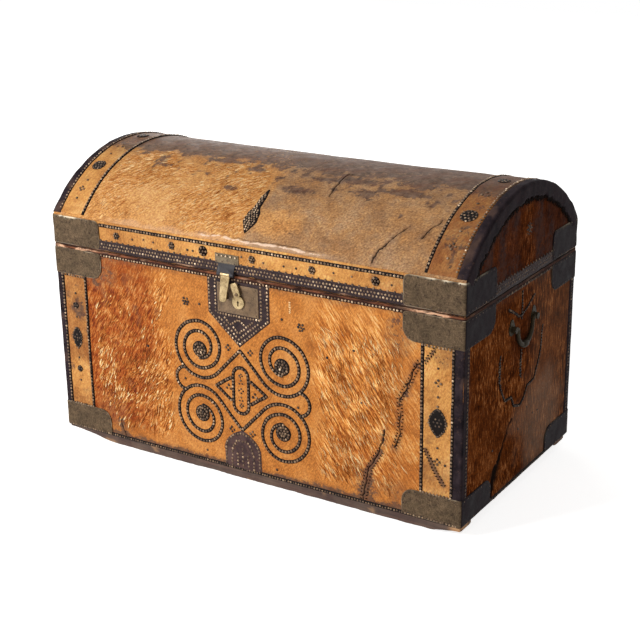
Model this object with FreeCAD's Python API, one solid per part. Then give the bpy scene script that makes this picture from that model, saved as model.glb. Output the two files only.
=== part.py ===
import FreeCAD, Part
import math
import os

# Hide-covered trunk with a domed lid. Millimetres, +X along the length,
# front at -Y, +Z up, origin on the floor at the middle of the footprint.

V = FreeCAD.Vector

# Outside of the hide covering
chest_length = 900.0
chest_depth = 475.0
body_height = 391.0
band_height = 59.0
dome_rise = 113.0

# Boards and coverings
board_thickness = 14.0
stave_thickness = 8.0
stave_count = 8
hide_thickness = 2.0
trim_thickness = 1.2
plate_thickness = 1.2
seam_gap = 0.3
fit_gap = 0.3
dress_gap = 0.3
overrun = 5.0

# Runners under the box
runner_height = 20.0
runner_width = 45.0
front_runner_inset = 2.0
rear_runner_inset = 9.0
left_wear_length = 125.0
left_wear_rise = 15.0
right_wear_length = 65.0
right_wear_rise = 9.0

# Leather bindings, strips and bands
binding_front_leg = 16.0
binding_side_leg = 20.0
rim_height = 12.0
band_strip_height = 20.0
front_strip_width = 57.0
front_strip_gap = 1.0
arch_binding_leg = 17.0
arch_binding_face = 24.0
dome_strip_width = 57.0
dome_strip_gap = 1.0

# Folded corner plates
plate_leg = 116.0
plate_end_radius = 23.0
upper_plate_height = 53.0
upper_plate_drop = 7.0
lower_plate_height = 52.0
lower_plate_lift = 2.0
lid_plate_lift = 2.0
lid_plate_lip = 5.0

# Plate nails
nail_head_radius = 2.2
nail_head_height = 1.3
nail_shank_radius = 0.8
nail_length = 11.0
nail_hole_gap = 0.05
plate_nail_shares = ((0.2, 0.14), (0.6, 0.14), (0.94, 0.5), (0.6, 0.86), (0.2, 0.86))

# Front ornaments, all about one upright line
ornament_x = -9.0
shield_half_width = 69.0
shield_shoulder = 68.0
shield_height = 127.0
foot_half_width = 42.0
foot_gap = 2.0
foot_shoulder_share = 0.53
foot_bend_shares = (0.68, 0.55)
strip_width = 6.5
scroll_drop = 6.85
scroll_reach = 93.0
scroll_rise = 65.5
scroll_step = 10.0
scroll_turns = 4
scroll_disc_radius = 15.5
scroll_cross_rise = 80.0
capsule_half_width = 17.0
capsule_half_height = 46.0
diamond_reach = 57.0
diamond_half_height = 36.0
link_reach = 129.0
link_radius = 23.0
link_half_turn = 50.0

# Lock
lock_plate_width = 91.0
lock_plate_height = 57.0
lock_plate_drop = 18.0
lock_case_width = 56.0
lock_case_height = 40.0
lock_case_depth = 10.4
lock_case_wall = 1.5
keyhole_shift = 2.5
keyhole_drop = 50.0
keyhole_disc_radius = 13.0
keyhole_disc_thickness = 3.0
keyhole_round_radius = 2.2
keyhole_slot_width = 2.6
keyhole_slot_length = 8.0
cover_width = 15.0
cover_length = 22.0
cover_corner_radius = 4.5
cover_thickness = 3.5
cover_pivot_rise = 16.0
cover_tilt = 20.0
rivet_radius = 2.0
rivet_collar_radius = 3.2
rivet_head_radius = 3.0
rivet_head_height = 1.4
bolt_throw = 6.0
bolt_body_length = 26.0
bolt_body_height = 9.0
bolt_nose_spare = 2.0
bolt_nose_height = 4.0
bolt_nose_thickness = 3.0
bolt_stand_off = 1.0

# Hasp and the plate that carries it
hasp_shift = -22.0
hasp_axis_offset = 6.5
hasp_knuckle_radius = 3.5
hasp_pin_radius = 1.6
hasp_width = 20.0
hasp_tip_width = 14.0
hasp_length = 50.0
hasp_tip_chamfer = 3.0
hasp_thickness = 2.5
hasp_closed_angle = 3.0
hasp_hang_angle = 14.0
hasp_plate_width = 52.0
hasp_plate_waist = 37.0
hasp_plate_thickness = 1.5
hasp_plate_rise = 19.0
hasp_strap_rise = 18.0
staple_width = 3.0
staple_drop = 36.0
staple_length = 10.0
staple_depth = 10.0
staple_bar = 2.2
hasp_nail_shares = (-1, -0.5, 0, 0.5, 1)

# Rear hinges
hinge_inset = 200.0
hinge_width = 36.0
hinge_leaf_height = 44.0
hinge_leaf_thickness = 2.0
hinge_leaf_radius = 8.0
hinge_knuckle_radius = 4.0
hinge_knuckle_offset = 0.4
hinge_knuckles = 5
hinge_pin_radius = 2.0
hinge_pin_head = 3.2
running_gap = 0.06
hinge_nail_shares = ((-0.25, 0.35), (0.25, 0.35), (-0.25, 0.8), (0.25, 0.8))

# Drop handles on the ends
handle_centre_y = -3.0
handle_axis_drop = 80.0
handle_half_span = 47.0
rose_thickness = 2.0
rose_radius = 12.0
rose_crown_radius = 5.0
rose_crown_rise = 14.0
post_radius = 6.0
post_reach = 9.0
bail_radius = 3.0
bail_shoulder = 8.0
bail_bend = 32.0
grip_radius = 5.2
grip_length = 26.0
grip_slim_share = 0.5
bail_end_gap = 0.4

# Levels and faces worked out from the sizes above
half_length = chest_length / 2
half_depth = chest_depth / 2
z_body = runner_height
z_seam = z_body + body_height
z_body_top = z_seam - seam_gap / 2
z_lid = z_seam + seam_gap / 2
z_band = z_seam + band_height
dome_radius = (half_depth ** 2 + dome_rise ** 2) / (2 * dome_rise)
dome_centre_z = z_band + dome_rise - dome_radius
board_x = half_length - hide_thickness
board_y = half_depth - hide_thickness
inner_x = board_x - board_thickness
inner_y = board_y - board_thickness
board_radius = dome_radius - hide_thickness
stave_inner_radius = board_radius - stave_thickness
z_rail_top = dome_centre_z + math.sqrt(board_radius ** 2 - board_y ** 2)
lower_plate_z = (z_body + lower_plate_lift, z_body + lower_plate_lift + lower_plate_height)
upper_plate_z = (z_seam - upper_plate_drop - upper_plate_height, z_seam - upper_plate_drop)
lid_plate_z = (z_lid + lid_plate_lift, z_band)
z_dress = z_band + lid_plate_lip
lock_x = ornament_x
keyhole_x = lock_x + keyhole_shift
keyhole_z = z_seam - keyhole_drop
hasp_x = lock_x + hasp_shift
plate_face = trim_thickness + plate_thickness
handle_z = z_seam - handle_axis_drop
shield_top_z = z_body_top - rim_height
scroll_mid_z = shield_top_z - shield_height - scroll_drop - scroll_cross_rise
foot_top_z = scroll_mid_z - scroll_cross_rise - foot_gap
hinge_reach = half_length - hinge_inset
hinge_axis_y = half_depth + hinge_knuckle_radius + hinge_knuckle_offset
hasp_axis_y = -(half_depth + hasp_axis_offset)


def box(x0, x1, y0, y1, z0, z1):
    """Box between two corners."""
    return Part.makeBox(x1 - x0, y1 - y0, z1 - z0, V(x0, y0, z0))


def flipped_x(shape):
    """Mirror image at the other end of the chest."""
    return shape.mirror(V(0, 0, 0), V(1, 0, 0))


def flipped_y(shape):
    """Mirror image on the other long side of the chest."""
    return shape.mirror(V(0, 0, 0), V(0, 1, 0))


def outline(points):
    """Closed face through points."""
    return Part.Face(Part.makePolygon(list(points) + [points[0]]))


def front_slab(face, low, high):
    """Face drawn in the XZ plane, thickened between two heights over the front hide."""
    slab = face.extrude(V(0, low - high, 0))
    slab.translate(V(0, -half_depth - low, 0))
    return slab


def dome_angle(radius, z):
    """Angle from upright at which an arc about the dome's centre reaches a height."""
    return math.acos((z - dome_centre_z) / radius)


def dome_point(radius, angle, x):
    """Point on an arc about the dome's centre."""
    return V(x, radius * math.sin(angle), dome_centre_z + radius * math.cos(angle))


def dome_arc(radius, start, end, x):
    """Arc edge about the dome's centre."""
    middle = (start + end) / 2
    return Part.Arc(dome_point(radius, start, x), dome_point(radius, middle, x),
                    dome_point(radius, end, x)).toShape()


def dome_sheet(x0, x1, inner, outer, inner_span, outer_span):
    """Curved sheet between two radii, each with its own start and end angle."""
    low = dome_arc(inner, inner_span[0], inner_span[1], x0)
    high = dome_arc(outer, outer_span[1], outer_span[0], x0)
    join = Part.LineSegment(dome_point(inner, inner_span[1], x0),
                            dome_point(outer, outer_span[1], x0)).toShape()
    back = Part.LineSegment(dome_point(outer, outer_span[0], x0),
                            dome_point(inner, inner_span[0], x0)).toShape()
    return Part.Face(Part.Wire([low, join, high, back])).extrude(V(x1 - x0, 0, 0))


def dome_dress(x0, x1, depth):
    """Leather laid over the dome between the front and rear plates, reaching down by depth."""
    inner = dome_radius + dress_gap - depth
    outer = dome_radius + dress_gap + trim_thickness
    low = dome_angle(inner, z_dress + fit_gap)
    high = dome_angle(dome_radius, z_dress + fit_gap)
    return dome_sheet(x0, x1, inner, outer, (-low, low), (-high, high))


def arch_face(radius, z_low, half_width, x):
    """Upright face under an arc, as wide as half_width allows."""
    angle = math.asin(half_width / radius)
    shoulder = dome_point(radius, angle, x)
    arc = dome_arc(radius, -angle, angle, x)
    sides = Part.makePolygon([shoulder, V(x, half_width, z_low), V(x, -half_width, z_low),
                              V(x, -half_width, shoulder.z)])
    return Part.Face(Part.Wire([arc] + sides.Edges))


def nail():
    """Round-headed nail along +Z, its head's underside at the origin."""
    top = V(0, 0, nail_head_height)
    rim = V(nail_head_radius, 0, 0)
    crown = V(nail_head_radius * math.sin(math.pi / 4), 0,
              nail_head_height * math.cos(math.pi / 4))
    dome = Part.Arc(top, crown, rim).toShape()
    rest = Part.makePolygon([rim, V(nail_shank_radius, 0, 0), V(nail_shank_radius, 0, -nail_length),
                             V(0, 0, -nail_length), top])
    return Part.Face(Part.Wire([dome] + rest.Edges)).revolve(V(0, 0, 0), V(0, 0, 1), 360)


def placed(shape, seat):
    """Copy of a +Z shape, set at a seat given as a point and an outward direction."""
    point, outward = seat
    copy = shape.copy()
    copy.Placement = FreeCAD.Placement(point, FreeCAD.Rotation(V(0, 0, 1), outward))
    return copy


def nails(seats):
    """Group of nails, one for each seat."""
    return Part.makeCompound([placed(nail(), seat) for seat in seats])


def pierced(shape, seats):
    """Shape with a hole for each nail that passes through its box."""
    drill = Part.makeCylinder(nail_shank_radius + nail_hole_gap, nail_length + overrun,
                              V(0, 0, -nail_length - nail_hole_gap))
    holes = [placed(drill, seat) for seat in seats]
    near = [hole for hole in holes if hole.BoundBox.intersect(shape.BoundBox)]
    return shape.cut(near) if near else shape


# Box of boards

def lock_pocket(growth):
    """Space of the lock case, grown by a clearance."""
    half_width = lock_case_width / 2 + growth
    half_height = lock_case_height / 2 + growth
    return box(lock_x - half_width, lock_x + half_width,
               -half_depth - overrun, -half_depth - trim_thickness + lock_case_depth + growth,
               keyhole_z - half_height, keyhole_z + half_height)


def front_board():
    """Long front board with a blind pocket for the lock case."""
    board = box(-board_x, board_x, -board_y, -inner_y, z_body, z_body_top)
    return board.cut(lock_pocket(fit_gap))


def back_board():
    """Long back board."""
    return box(-board_x, board_x, inner_y, board_y, z_body, z_body_top)


def right_end_board():
    """End board between the long boards."""
    return box(inner_x, board_x, -inner_y, inner_y, z_body, z_body_top)


def bottom_board():
    """Bottom, held inside the four walls."""
    return box(-inner_x, inner_x, -inner_y, inner_y, z_body, z_body + board_thickness)


def wear_arc(x_flat, x_end, rise):
    """Arc that leaves the floor tangentially and rises towards a worn runner end."""
    run = x_end - x_flat
    radius = (run ** 2 + rise ** 2) / (2 * rise)
    turn = math.asin(abs(run) / radius) / 2
    side = math.copysign(1, run)
    middle = V(x_flat + side * radius * math.sin(turn), 0, radius * (1 - math.cos(turn)))
    return Part.Arc(V(x_flat, 0, 0), middle, V(x_end, 0, rise)).toShape()


def runner(y_low):
    """Batten along the box, worn upwards at both ends."""
    left_flat = V(-board_x + left_wear_length, 0, 0)
    right_flat = V(board_x - right_wear_length, 0, 0)
    floor = Part.LineSegment(left_flat, right_flat).toShape()
    left = wear_arc(left_flat.x, -board_x, left_wear_rise)
    right = wear_arc(right_flat.x, board_x, right_wear_rise)
    top = Part.makePolygon([V(-board_x, 0, left_wear_rise), V(-board_x, 0, runner_height),
                            V(board_x, 0, runner_height), V(board_x, 0, right_wear_rise)])
    batten = Part.Face(Part.Wire([left, floor, right] + top.Edges)).extrude(V(0, runner_width, 0))
    batten.translate(V(0, y_low, 0))
    return batten


# Hide covering of the box

def front_hide():
    """Front hide, cut out behind the lock."""
    hide = box(-half_length, half_length, -half_depth, -board_y, z_body, z_body_top)
    return hide.cut(lock_pocket(fit_gap))


def back_hide():
    """Back hide."""
    return box(-half_length, half_length, board_y, half_depth, z_body, z_body_top)


def right_end_hide():
    """End hide, between the front and back hides."""
    return box(board_x, half_length, -board_y, board_y, z_body, z_body_top)


# Leather trim of the box

def corner_binding():
    """Folded strip over one upright corner, between the corner plates."""
    z0 = lower_plate_z[1]
    z1 = upper_plate_z[0]
    front = box(half_length - binding_front_leg, half_length + trim_thickness,
                -half_depth - trim_thickness, -half_depth, z0, z1)
    side = box(half_length, half_length + trim_thickness,
               -half_depth - trim_thickness, -half_depth + binding_side_leg, z0, z1)
    return front.fuse(side).removeSplitter()


def corner_bindings():
    """The four upright corner bindings."""
    right = [corner_binding(), flipped_y(corner_binding())]
    return Part.makeCompound(right + [flipped_x(piece) for piece in right])


def leather_ring(z0, z1):
    """Strip of trim round all four sides."""
    out = trim_thickness
    ring = box(-half_length - out, half_length + out, -half_depth - out, half_depth + out, z0, z1)
    return ring.cut(box(-half_length, half_length, -half_depth, half_depth,
                        z0 - overrun, z1 + overrun))


def plate_spaces(z0, z1):
    """Spaces kept free for the corner plates in a ring of trim."""
    x0 = half_length - plate_leg - fit_gap
    y0 = half_depth - plate_leg - fit_gap
    corner = box(x0, half_length + overrun, y0, half_depth + overrun, z0, z1)
    near = [corner, flipped_y(corner)]
    return near + [flipped_x(space) for space in near]


def hinge_spaces():
    """Spaces kept free for the hinges in a ring of trim."""
    half_width = hinge_width / 2 + fit_gap
    rise = hinge_leaf_height + fit_gap
    space = box(hinge_reach - half_width, hinge_reach + half_width,
                half_depth - overrun, half_depth + overrun, z_seam - rise, z_seam + rise)
    return [space, flipped_x(space)]


def rim_binding():
    """Leather along the box's upper edge."""
    ring = leather_ring(z_body_top - rim_height, z_body_top)
    plates = plate_spaces(upper_plate_z[0], upper_plate_z[1] + fit_gap)
    return ring.cut(plates + hinge_spaces())


def front_strips():
    """Upright hide strips beside the front corners."""
    x1 = half_length - binding_front_leg - front_strip_gap
    right = box(x1 - front_strip_width, x1, -half_depth - trim_thickness, -half_depth,
                lower_plate_z[1], upper_plate_z[0])
    return Part.makeCompound([right, flipped_x(right)])


def shield_patch():
    """Five-sided leather shield behind the lock."""
    top = shield_top_z
    shoulder = top - shield_shoulder
    face = outline([V(ornament_x - shield_half_width, 0, top),
                    V(ornament_x + shield_half_width, 0, top),
                    V(ornament_x + shield_half_width, 0, shoulder),
                    V(ornament_x, 0, top - shield_height),
                    V(ornament_x - shield_half_width, 0, shoulder)])
    return front_slab(face, 0, trim_thickness).cut(lock_pocket(fit_gap))


def foot_patch():
    """Pointed half-oval of leather at the foot of the front."""
    foot_height = foot_top_z - z_body
    shoulder = z_body + foot_height * foot_shoulder_share
    tip = V(ornament_x, 0, foot_top_z)
    right = V(ornament_x + foot_half_width, 0, shoulder)
    left = V(ornament_x - foot_half_width, 0, shoulder)
    bend_x = foot_half_width * foot_bend_shares[0]
    bend_z = shoulder + (foot_top_z - shoulder) * foot_bend_shares[1]
    right_bend = V(ornament_x + bend_x, 0, bend_z)
    left_bend = V(ornament_x - bend_x, 0, bend_z)
    base = Part.makePolygon([left, V(left.x, 0, z_body), V(right.x, 0, z_body), right])
    edges = [Part.Arc(right, right_bend, tip).toShape(), Part.Arc(tip, left_bend, left).toShape()]
    return front_slab(Part.Face(Part.Wire(base.Edges + edges)), 0, trim_thickness)


# Narrow strips of the nail scrolls

def line_strip(start, end):
    """Face of strip_width along a straight line in the XZ plane."""
    along = (end - start).normalize()
    aside = V(-along.z, 0, along.x) * (strip_width / 2)
    return outline([start + aside, end + aside, end - aside, start - aside])


def arc_strip(centre, radius, begin, end):
    """Face of strip_width along an arc in the XZ plane."""
    middle = (begin + end) / 2
    outer = radius + strip_width / 2
    inner = radius - strip_width / 2
    rim = [circle_point(centre, outer, angle) for angle in (begin, middle, end)]
    core = [circle_point(centre, inner, angle) for angle in (end, middle, begin)]
    return Part.Face(Part.Wire([Part.Arc(*rim).toShape(), Part.LineSegment(rim[2], core[0]).toShape(),
                                Part.Arc(*core).toShape(), Part.LineSegment(core[2], rim[0]).toShape()]))


def tangent_turn(centre, radius, start):
    """Angle on a circle at which a straight line from start touches its lower side."""
    away = start - centre
    reach = math.hypot(away.x, away.z)
    return math.atan2(away.z, away.x) - math.acos(radius / reach)


def circle_point(centre, radius, angle):
    """Point on a circle in the XZ plane."""
    return V(centre.x + radius * math.cos(angle), 0, centre.z + radius * math.sin(angle))


def scroll():
    """Upper left scroll: a straight arm that winds inwards in half circles to a round centre."""
    start = V(ornament_x - strip_width, 0, scroll_mid_z + scroll_cross_rise - strip_width)
    centre = V(ornament_x - scroll_reach, 0, scroll_mid_z + scroll_rise)
    radius = scroll_disc_radius + scroll_step * scroll_turns
    begin = tangent_turn(centre, radius, start)
    faces = [line_strip(start, circle_point(centre, radius, begin))]
    for turn in range(scroll_turns):
        upwards = turn % 2 == 1
        end = -math.pi / 2 if upwards else -3 * math.pi / 2
        faces.append(arc_strip(centre, radius, begin, end))
        begin = -math.pi / 2 if upwards else math.pi / 2
        centre = V(centre.x, 0, centre.z - scroll_step if upwards else centre.z + scroll_step)
        radius = radius - scroll_step
    faces.append(Part.Face(Part.Wire(Part.makeCircle(scroll_disc_radius, centre, V(0, 1, 0)))))
    slabs = [front_slab(face, 0, trim_thickness) for face in faces]
    return slabs[0].fuse(slabs[1:]).removeSplitter()


def turned_down(shape):
    """Mirror image of a front ornament below the middle of the scrolls."""
    return shape.mirror(V(0, 0, scroll_mid_z), V(0, 0, 1))


def turned_right(shape):
    """Mirror image of a front ornament on the other side of the ornaments' line."""
    return shape.mirror(V(ornament_x, 0, 0), V(1, 0, 0))


def capsule_face(growth):
    """Upright capsule at the middle of the scrolls, grown all round."""
    rise = capsule_half_height - capsule_half_width
    half_width = capsule_half_width + growth
    half_height = capsule_half_height + growth
    left = ornament_x - half_width
    right = ornament_x + half_width
    above = scroll_mid_z + rise
    below = scroll_mid_z - rise
    top = Part.Arc(V(left, 0, above), V(ornament_x, 0, scroll_mid_z + half_height),
                   V(right, 0, above)).toShape()
    low = Part.Arc(V(right, 0, below), V(ornament_x, 0, scroll_mid_z - half_height),
                   V(left, 0, below)).toShape()
    down = Part.LineSegment(V(right, 0, above), V(right, 0, below)).toShape()
    up = Part.LineSegment(V(left, 0, below), V(left, 0, above)).toShape()
    return Part.Face(Part.Wire([top, down, low, up]))


def capsule_strip():
    """Closed strip along the capsule."""
    ring = capsule_face(strip_width / 2).cut(capsule_face(-strip_width / 2))
    return front_slab(ring, 0, trim_thickness)


def diamond_strip():
    """Left point of the diamond, ending at the capsule."""
    middle = scroll_mid_z
    half = strip_width / 2 * math.hypot(diamond_reach, diamond_half_height) / diamond_half_height
    start = capsule_half_width + strip_width / 2 + half + fit_gap
    rise = diamond_half_height * (1 - start / diamond_reach)
    x0 = ornament_x - start
    point = ornament_x - diamond_reach
    face = outline([V(x0 - half, 0, middle + rise), V(point - half, 0, middle),
                    V(x0 - half, 0, middle - rise), V(x0 + half, 0, middle - rise),
                    V(point + half, 0, middle), V(x0 + half, 0, middle + rise)])
    return front_slab(face, 0, trim_thickness)


def link_strip():
    """Left link, an arc that joins the outer turns of two scrolls."""
    centre = V(ornament_x - link_reach, 0, scroll_mid_z)
    half_turn = math.radians(link_half_turn)
    face = arc_strip(centre, link_radius, math.pi - half_turn, math.pi + half_turn)
    return front_slab(face, 0, trim_thickness)


def scroll_strips():
    """All the narrow strips on the front."""
    upper = [scroll(), turned_right(scroll())]
    pieces = upper + [turned_down(piece) for piece in upper]
    for side in (diamond_strip(), link_strip()):
        pieces = pieces + [side, turned_right(side)]
    return Part.makeCompound(pieces + [capsule_strip()])


# Folded corner plates

def tab_face(z0, z1):
    """Upright tab towards -X with a rounded far end, starting at x = 0."""
    far = -plate_leg
    r = plate_end_radius
    bend = r * (1 - math.cos(math.pi / 4))
    low = Part.Arc(V(far + r, 0, z0), V(far + bend, 0, z0 + bend), V(far, 0, z0 + r)).toShape()
    high = Part.Arc(V(far, 0, z1 - r), V(far + bend, 0, z1 - bend), V(far + r, 0, z1)).toShape()
    near = Part.makePolygon([V(far + r, 0, z1), V(0, 0, z1), V(0, 0, z0), V(far + r, 0, z0)])
    end = Part.LineSegment(V(far, 0, z0 + r), V(far, 0, z1 - r)).toShape()
    return Part.Face(Part.Wire([low, end, high] + near.Edges))


def corner_plate(z0, z1):
    """Front right corner plate, folded round the upright corner."""
    t = plate_thickness
    front = tab_face(z0, z1).extrude(V(0, -t, 0))
    front.translate(V(half_length + t, -half_depth, 0))
    side = tab_face(z0, z1)
    side.rotate(V(0, 0, 0), V(0, 0, 1), -90)
    side = side.extrude(V(t, 0, 0))
    side.translate(V(half_length, -half_depth - t, 0))
    return front.fuse(side).removeSplitter()


def lid_corner_plate():
    """Front right lid plate, with a lip bent over onto the dome."""
    t = plate_thickness
    z0, z1 = lid_plate_z
    outer = dome_radius + t
    inner_end = -dome_angle(dome_radius, z_dress)
    outer_low = -math.asin((half_depth + t) / outer)
    inner_low = -math.asin(half_depth / dome_radius)
    lip_low = dome_point(dome_radius, inner_low, 0)
    lip_out = dome_point(outer, outer_low, 0)
    foot = Part.makePolygon([lip_low, V(0, -half_depth, z0), V(0, -half_depth - t, z0), lip_out])
    arcs = [dome_arc(outer, outer_low, inner_end, 0), dome_arc(dome_radius, inner_end, inner_low, 0)]
    lip = Part.LineSegment(dome_point(outer, inner_end, 0),
                           dome_point(dome_radius, inner_end, 0)).toShape()
    profile = Part.Face(Part.Wire(foot.Edges + [arcs[0], lip, arcs[1]]))
    front = profile.extrude(V(-plate_leg, 0, 0))
    rounding = tab_face(z0, z_dress + t).extrude(V(0, half_depth, 0))
    rounding.translate(V(0, -half_depth - overrun, 0))
    front = front.common(rounding)
    front.translate(V(half_length + t, 0, 0))
    side = tab_face(z0, z1)
    side.rotate(V(0, 0, 0), V(0, 0, 1), -90)
    side = side.extrude(V(t, 0, 0))
    side.translate(V(half_length, -half_depth - t, 0))
    return front.fuse(side).removeSplitter()


def plate_seats(z0, z1):
    """Nail seats of a front right corner plate, on both of its legs."""
    seats = []
    for along, up in plate_nail_shares:
        z = z0 + up * (z1 - z0)
        reach = along * plate_leg
        seats.append((V(half_length - reach, -half_depth - plate_thickness, z), V(0, -1, 0)))
        seats.append((V(half_length + plate_thickness, -half_depth + reach, z), V(1, 0, 0)))
    return seats


def turned_seats(seats, side_x, side_y):
    """Nail seats moved to another corner by the signs of its side."""
    turned = []
    for point, outward in seats:
        turned.append((V(point.x * side_x, point.y * side_y, point.z),
                       V(outward.x * side_x, outward.y * side_y, 0)))
    return turned


corners = {"front_left": (-1, 1), "front_right": (1, 1), "rear_left": (-1, -1), "rear_right": (1, -1)}


def at_corner(shape, side):
    """Front right shape moved to the corner with the given signs."""
    if side[0] < 0:
        shape = flipped_x(shape)
    if side[1] < 0:
        shape = flipped_y(shape)
    return shape


def corner_seats(z_span):
    """Nail seats of all four corner plates at one level."""
    seats = []
    for side in corners.values():
        seats = seats + turned_seats(plate_seats(z_span[0], z_span[1]), side[0], side[1])
    return seats


# Lock

def keyhole(depth_low, depth_high):
    """Round and slot of the keyhole between two heights over the front hide."""
    round_part = Part.Face(Part.Wire(Part.makeCircle(keyhole_round_radius,
                                                     V(keyhole_x, 0, keyhole_z), V(0, 1, 0))))
    half = keyhole_slot_width / 2
    slot = outline([V(keyhole_x - half, 0, keyhole_z), V(keyhole_x + half, 0, keyhole_z),
                    V(keyhole_x + half, 0, keyhole_z - keyhole_slot_length),
                    V(keyhole_x - half, 0, keyhole_z - keyhole_slot_length)])
    return front_slab(round_part.fuse(slot).removeSplitter(), depth_low, depth_high)


def staple_slot():
    """Upright slot in the lock plate that the hasp's staple enters."""
    half = staple_width / 2 + fit_gap * 2
    z1 = z_seam - staple_drop + fit_gap * 3
    z0 = z_seam - staple_drop - staple_length - staple_bar
    return box(hasp_x - half, hasp_x + half, -half_depth - plate_face - overrun,
               -half_depth - trim_thickness + overrun, z0, z1)


def lock_plate():
    """Lock plate with the keyhole and the staple's slot."""
    z1 = z_seam - lock_plate_drop
    plate = box(lock_x - lock_plate_width / 2, lock_x + lock_plate_width / 2,
                -half_depth - plate_face, -half_depth - trim_thickness,
                z1 - lock_plate_height, z1)
    return plate.cut([keyhole(0, plate_face + overrun), staple_slot()])


def lock_plate_seats():
    """Nail seats at the corners of the lock plate."""
    seats = []
    z1 = z_seam - lock_plate_drop
    inset = nail_head_radius * 2
    for side in (-1, 1):
        x = lock_x + side * (lock_plate_width / 2 - inset)
        for z in (z1 - inset, z1 - lock_plate_height + inset):
            seats.append((V(x, -half_depth - plate_face, z), V(0, -1, 0)))
    return seats


def lock_case():
    """Open-fronted case behind the lock plate."""
    x0 = lock_x - lock_case_width / 2
    x1 = lock_x + lock_case_width / 2
    z0 = keyhole_z - lock_case_height / 2
    z1 = keyhole_z + lock_case_height / 2
    y0 = -half_depth - trim_thickness
    wall = lock_case_wall
    case = box(x0, x1, y0, y0 + lock_case_depth, z0, z1)
    hollow = box(x0 + wall, x1 - wall, y0 - overrun, y0 + lock_case_depth - wall,
                 z0 + wall, z1 - wall)
    return case.cut(hollow)


def lock_bolt():
    """Bolt whose nose slides through the hasp's staple."""
    nose_tip = hasp_x + staple_width / 2 + bolt_stand_off
    body_x = nose_tip + bolt_throw + bolt_nose_spare
    drop = staple_drop + staple_length / 2
    z = z_seam - drop
    y_back = -half_depth - trim_thickness + lock_case_depth - lock_case_wall - fit_gap
    closed = math.radians(hasp_closed_angle)
    staple_room = hasp_thickness / 2 + staple_depth - staple_bar
    y_room = hasp_axis_y + drop * math.sin(closed) + staple_room * math.cos(closed)
    y_nose = y_room - 2 * fit_gap - bolt_nose_thickness
    body = box(body_x, body_x + bolt_body_length, y_nose, y_back,
               z - bolt_body_height / 2, z + bolt_body_height / 2)
    nose = box(nose_tip, body_x + overrun, y_nose, y_nose + bolt_nose_thickness,
               z - bolt_nose_height / 2, z + bolt_nose_height / 2)
    return body.fuse(nose).removeSplitter()


def front_cylinder(radius, x, z, low, high):
    """Cylinder square to the front between two heights over the hide."""
    return Part.makeCylinder(radius, high - low, V(x, -half_depth - low, z), V(0, -1, 0))


def keyhole_disc():
    """Raised disc round the keyhole."""
    high = plate_face + keyhole_disc_thickness
    disc = front_cylinder(keyhole_disc_radius, keyhole_x, keyhole_z, plate_face, high)
    rivet_room = front_cylinder(rivet_collar_radius + fit_gap, keyhole_x,
                                keyhole_z + cover_pivot_rise, 0, high + overrun)
    return disc.cut([keyhole(0, high + overrun), rivet_room])


def cover_layer():
    """Heights over the hide between which the keyhole cover swings."""
    low = plate_face + keyhole_disc_thickness + fit_gap
    return low, low + cover_thickness


def cover_rivet():
    """Rivet that the keyhole cover turns on."""
    low, high = cover_layer()
    z = keyhole_z + cover_pivot_rise
    collar = front_cylinder(rivet_collar_radius, keyhole_x, z, plate_face, low - fit_gap / 3)
    stem = front_cylinder(rivet_radius, keyhole_x, z, plate_face, high + fit_gap)
    head = front_cylinder(rivet_head_radius, keyhole_x, z, high + fit_gap / 3,
                          high + rivet_head_height)
    return collar.fuse([stem, head]).removeSplitter()


def keyhole_cover():
    """Swinging cover, turned up off the keyhole."""
    low, high = cover_layer()
    z = keyhole_z + cover_pivot_rise
    half = cover_width / 2
    z0 = z - cover_corner_radius
    cover = front_slab(outline([V(keyhole_x - half, 0, z0), V(keyhole_x + half, 0, z0),
                                V(keyhole_x + half, 0, z + cover_length),
                                V(keyhole_x - half, 0, z + cover_length)]), low, high)
    upright = [edge for edge in cover.Edges if edge.BoundBox.YLength > cover_thickness / 2]
    cover = cover.makeFillet(cover_corner_radius, upright)
    cover = cover.cut(front_cylinder(rivet_radius + running_gap, keyhole_x, z, 0, high + overrun))
    cover.rotate(V(keyhole_x, 0, z), V(0, 1, 0), -cover_tilt)
    return cover


# Hasp

def barrel(x0, x1, y, z, outer, inner):
    """Hinge knuckle along X."""
    shell = Part.makeCylinder(outer, x1 - x0, V(x0, y, z), V(1, 0, 0))
    bore = Part.makeCylinder(inner, x1 - x0 + 2 * overrun, V(x0 - overrun, y, z), V(1, 0, 0))
    return shell, bore


def hasp_plate():
    """Plate nailed to the lid, waisted down to the hasp's knuckles."""
    t = hasp_plate_thickness
    z_waist = z_seam + hasp_strap_rise
    half = hasp_plate_width / 2
    waist = hasp_plate_waist / 2
    leaf = box(hasp_x - half, hasp_x + half, -half_depth - t, -half_depth,
               z_waist, z_waist + hasp_plate_rise)
    out = hasp_axis_offset + hasp_knuckle_radius
    slope = [V(hasp_x - waist, -half_depth, z_waist + t), V(hasp_x - waist, -half_depth, z_waist - t),
             V(hasp_x - waist, -half_depth - out + t, z_seam),
             V(hasp_x - waist, -half_depth - out, z_seam),
             V(hasp_x - waist, -half_depth - t, z_waist + t)]
    strap = outline(slope).extrude(V(2 * waist, 0, 0))
    radius = hasp_knuckle_radius
    shell, bore = barrel(hasp_x - waist, hasp_x + waist, hasp_axis_y, z_seam, radius,
                         hasp_pin_radius + nail_hole_gap)
    room = Part.makeCylinder(radius + fit_gap, hasp_width + 2 * fit_gap,
                             V(hasp_x - hasp_width / 2 - fit_gap, hasp_axis_y, z_seam), V(1, 0, 0))
    below = box(hasp_x - hasp_width / 2 - fit_gap, hasp_x + hasp_width / 2 + fit_gap,
                hasp_axis_y - out, hasp_axis_y + radius, z_seam - out, z_seam)
    return leaf.fuse([strap, shell]).cut([bore, room, below]).removeSplitter()


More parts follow.
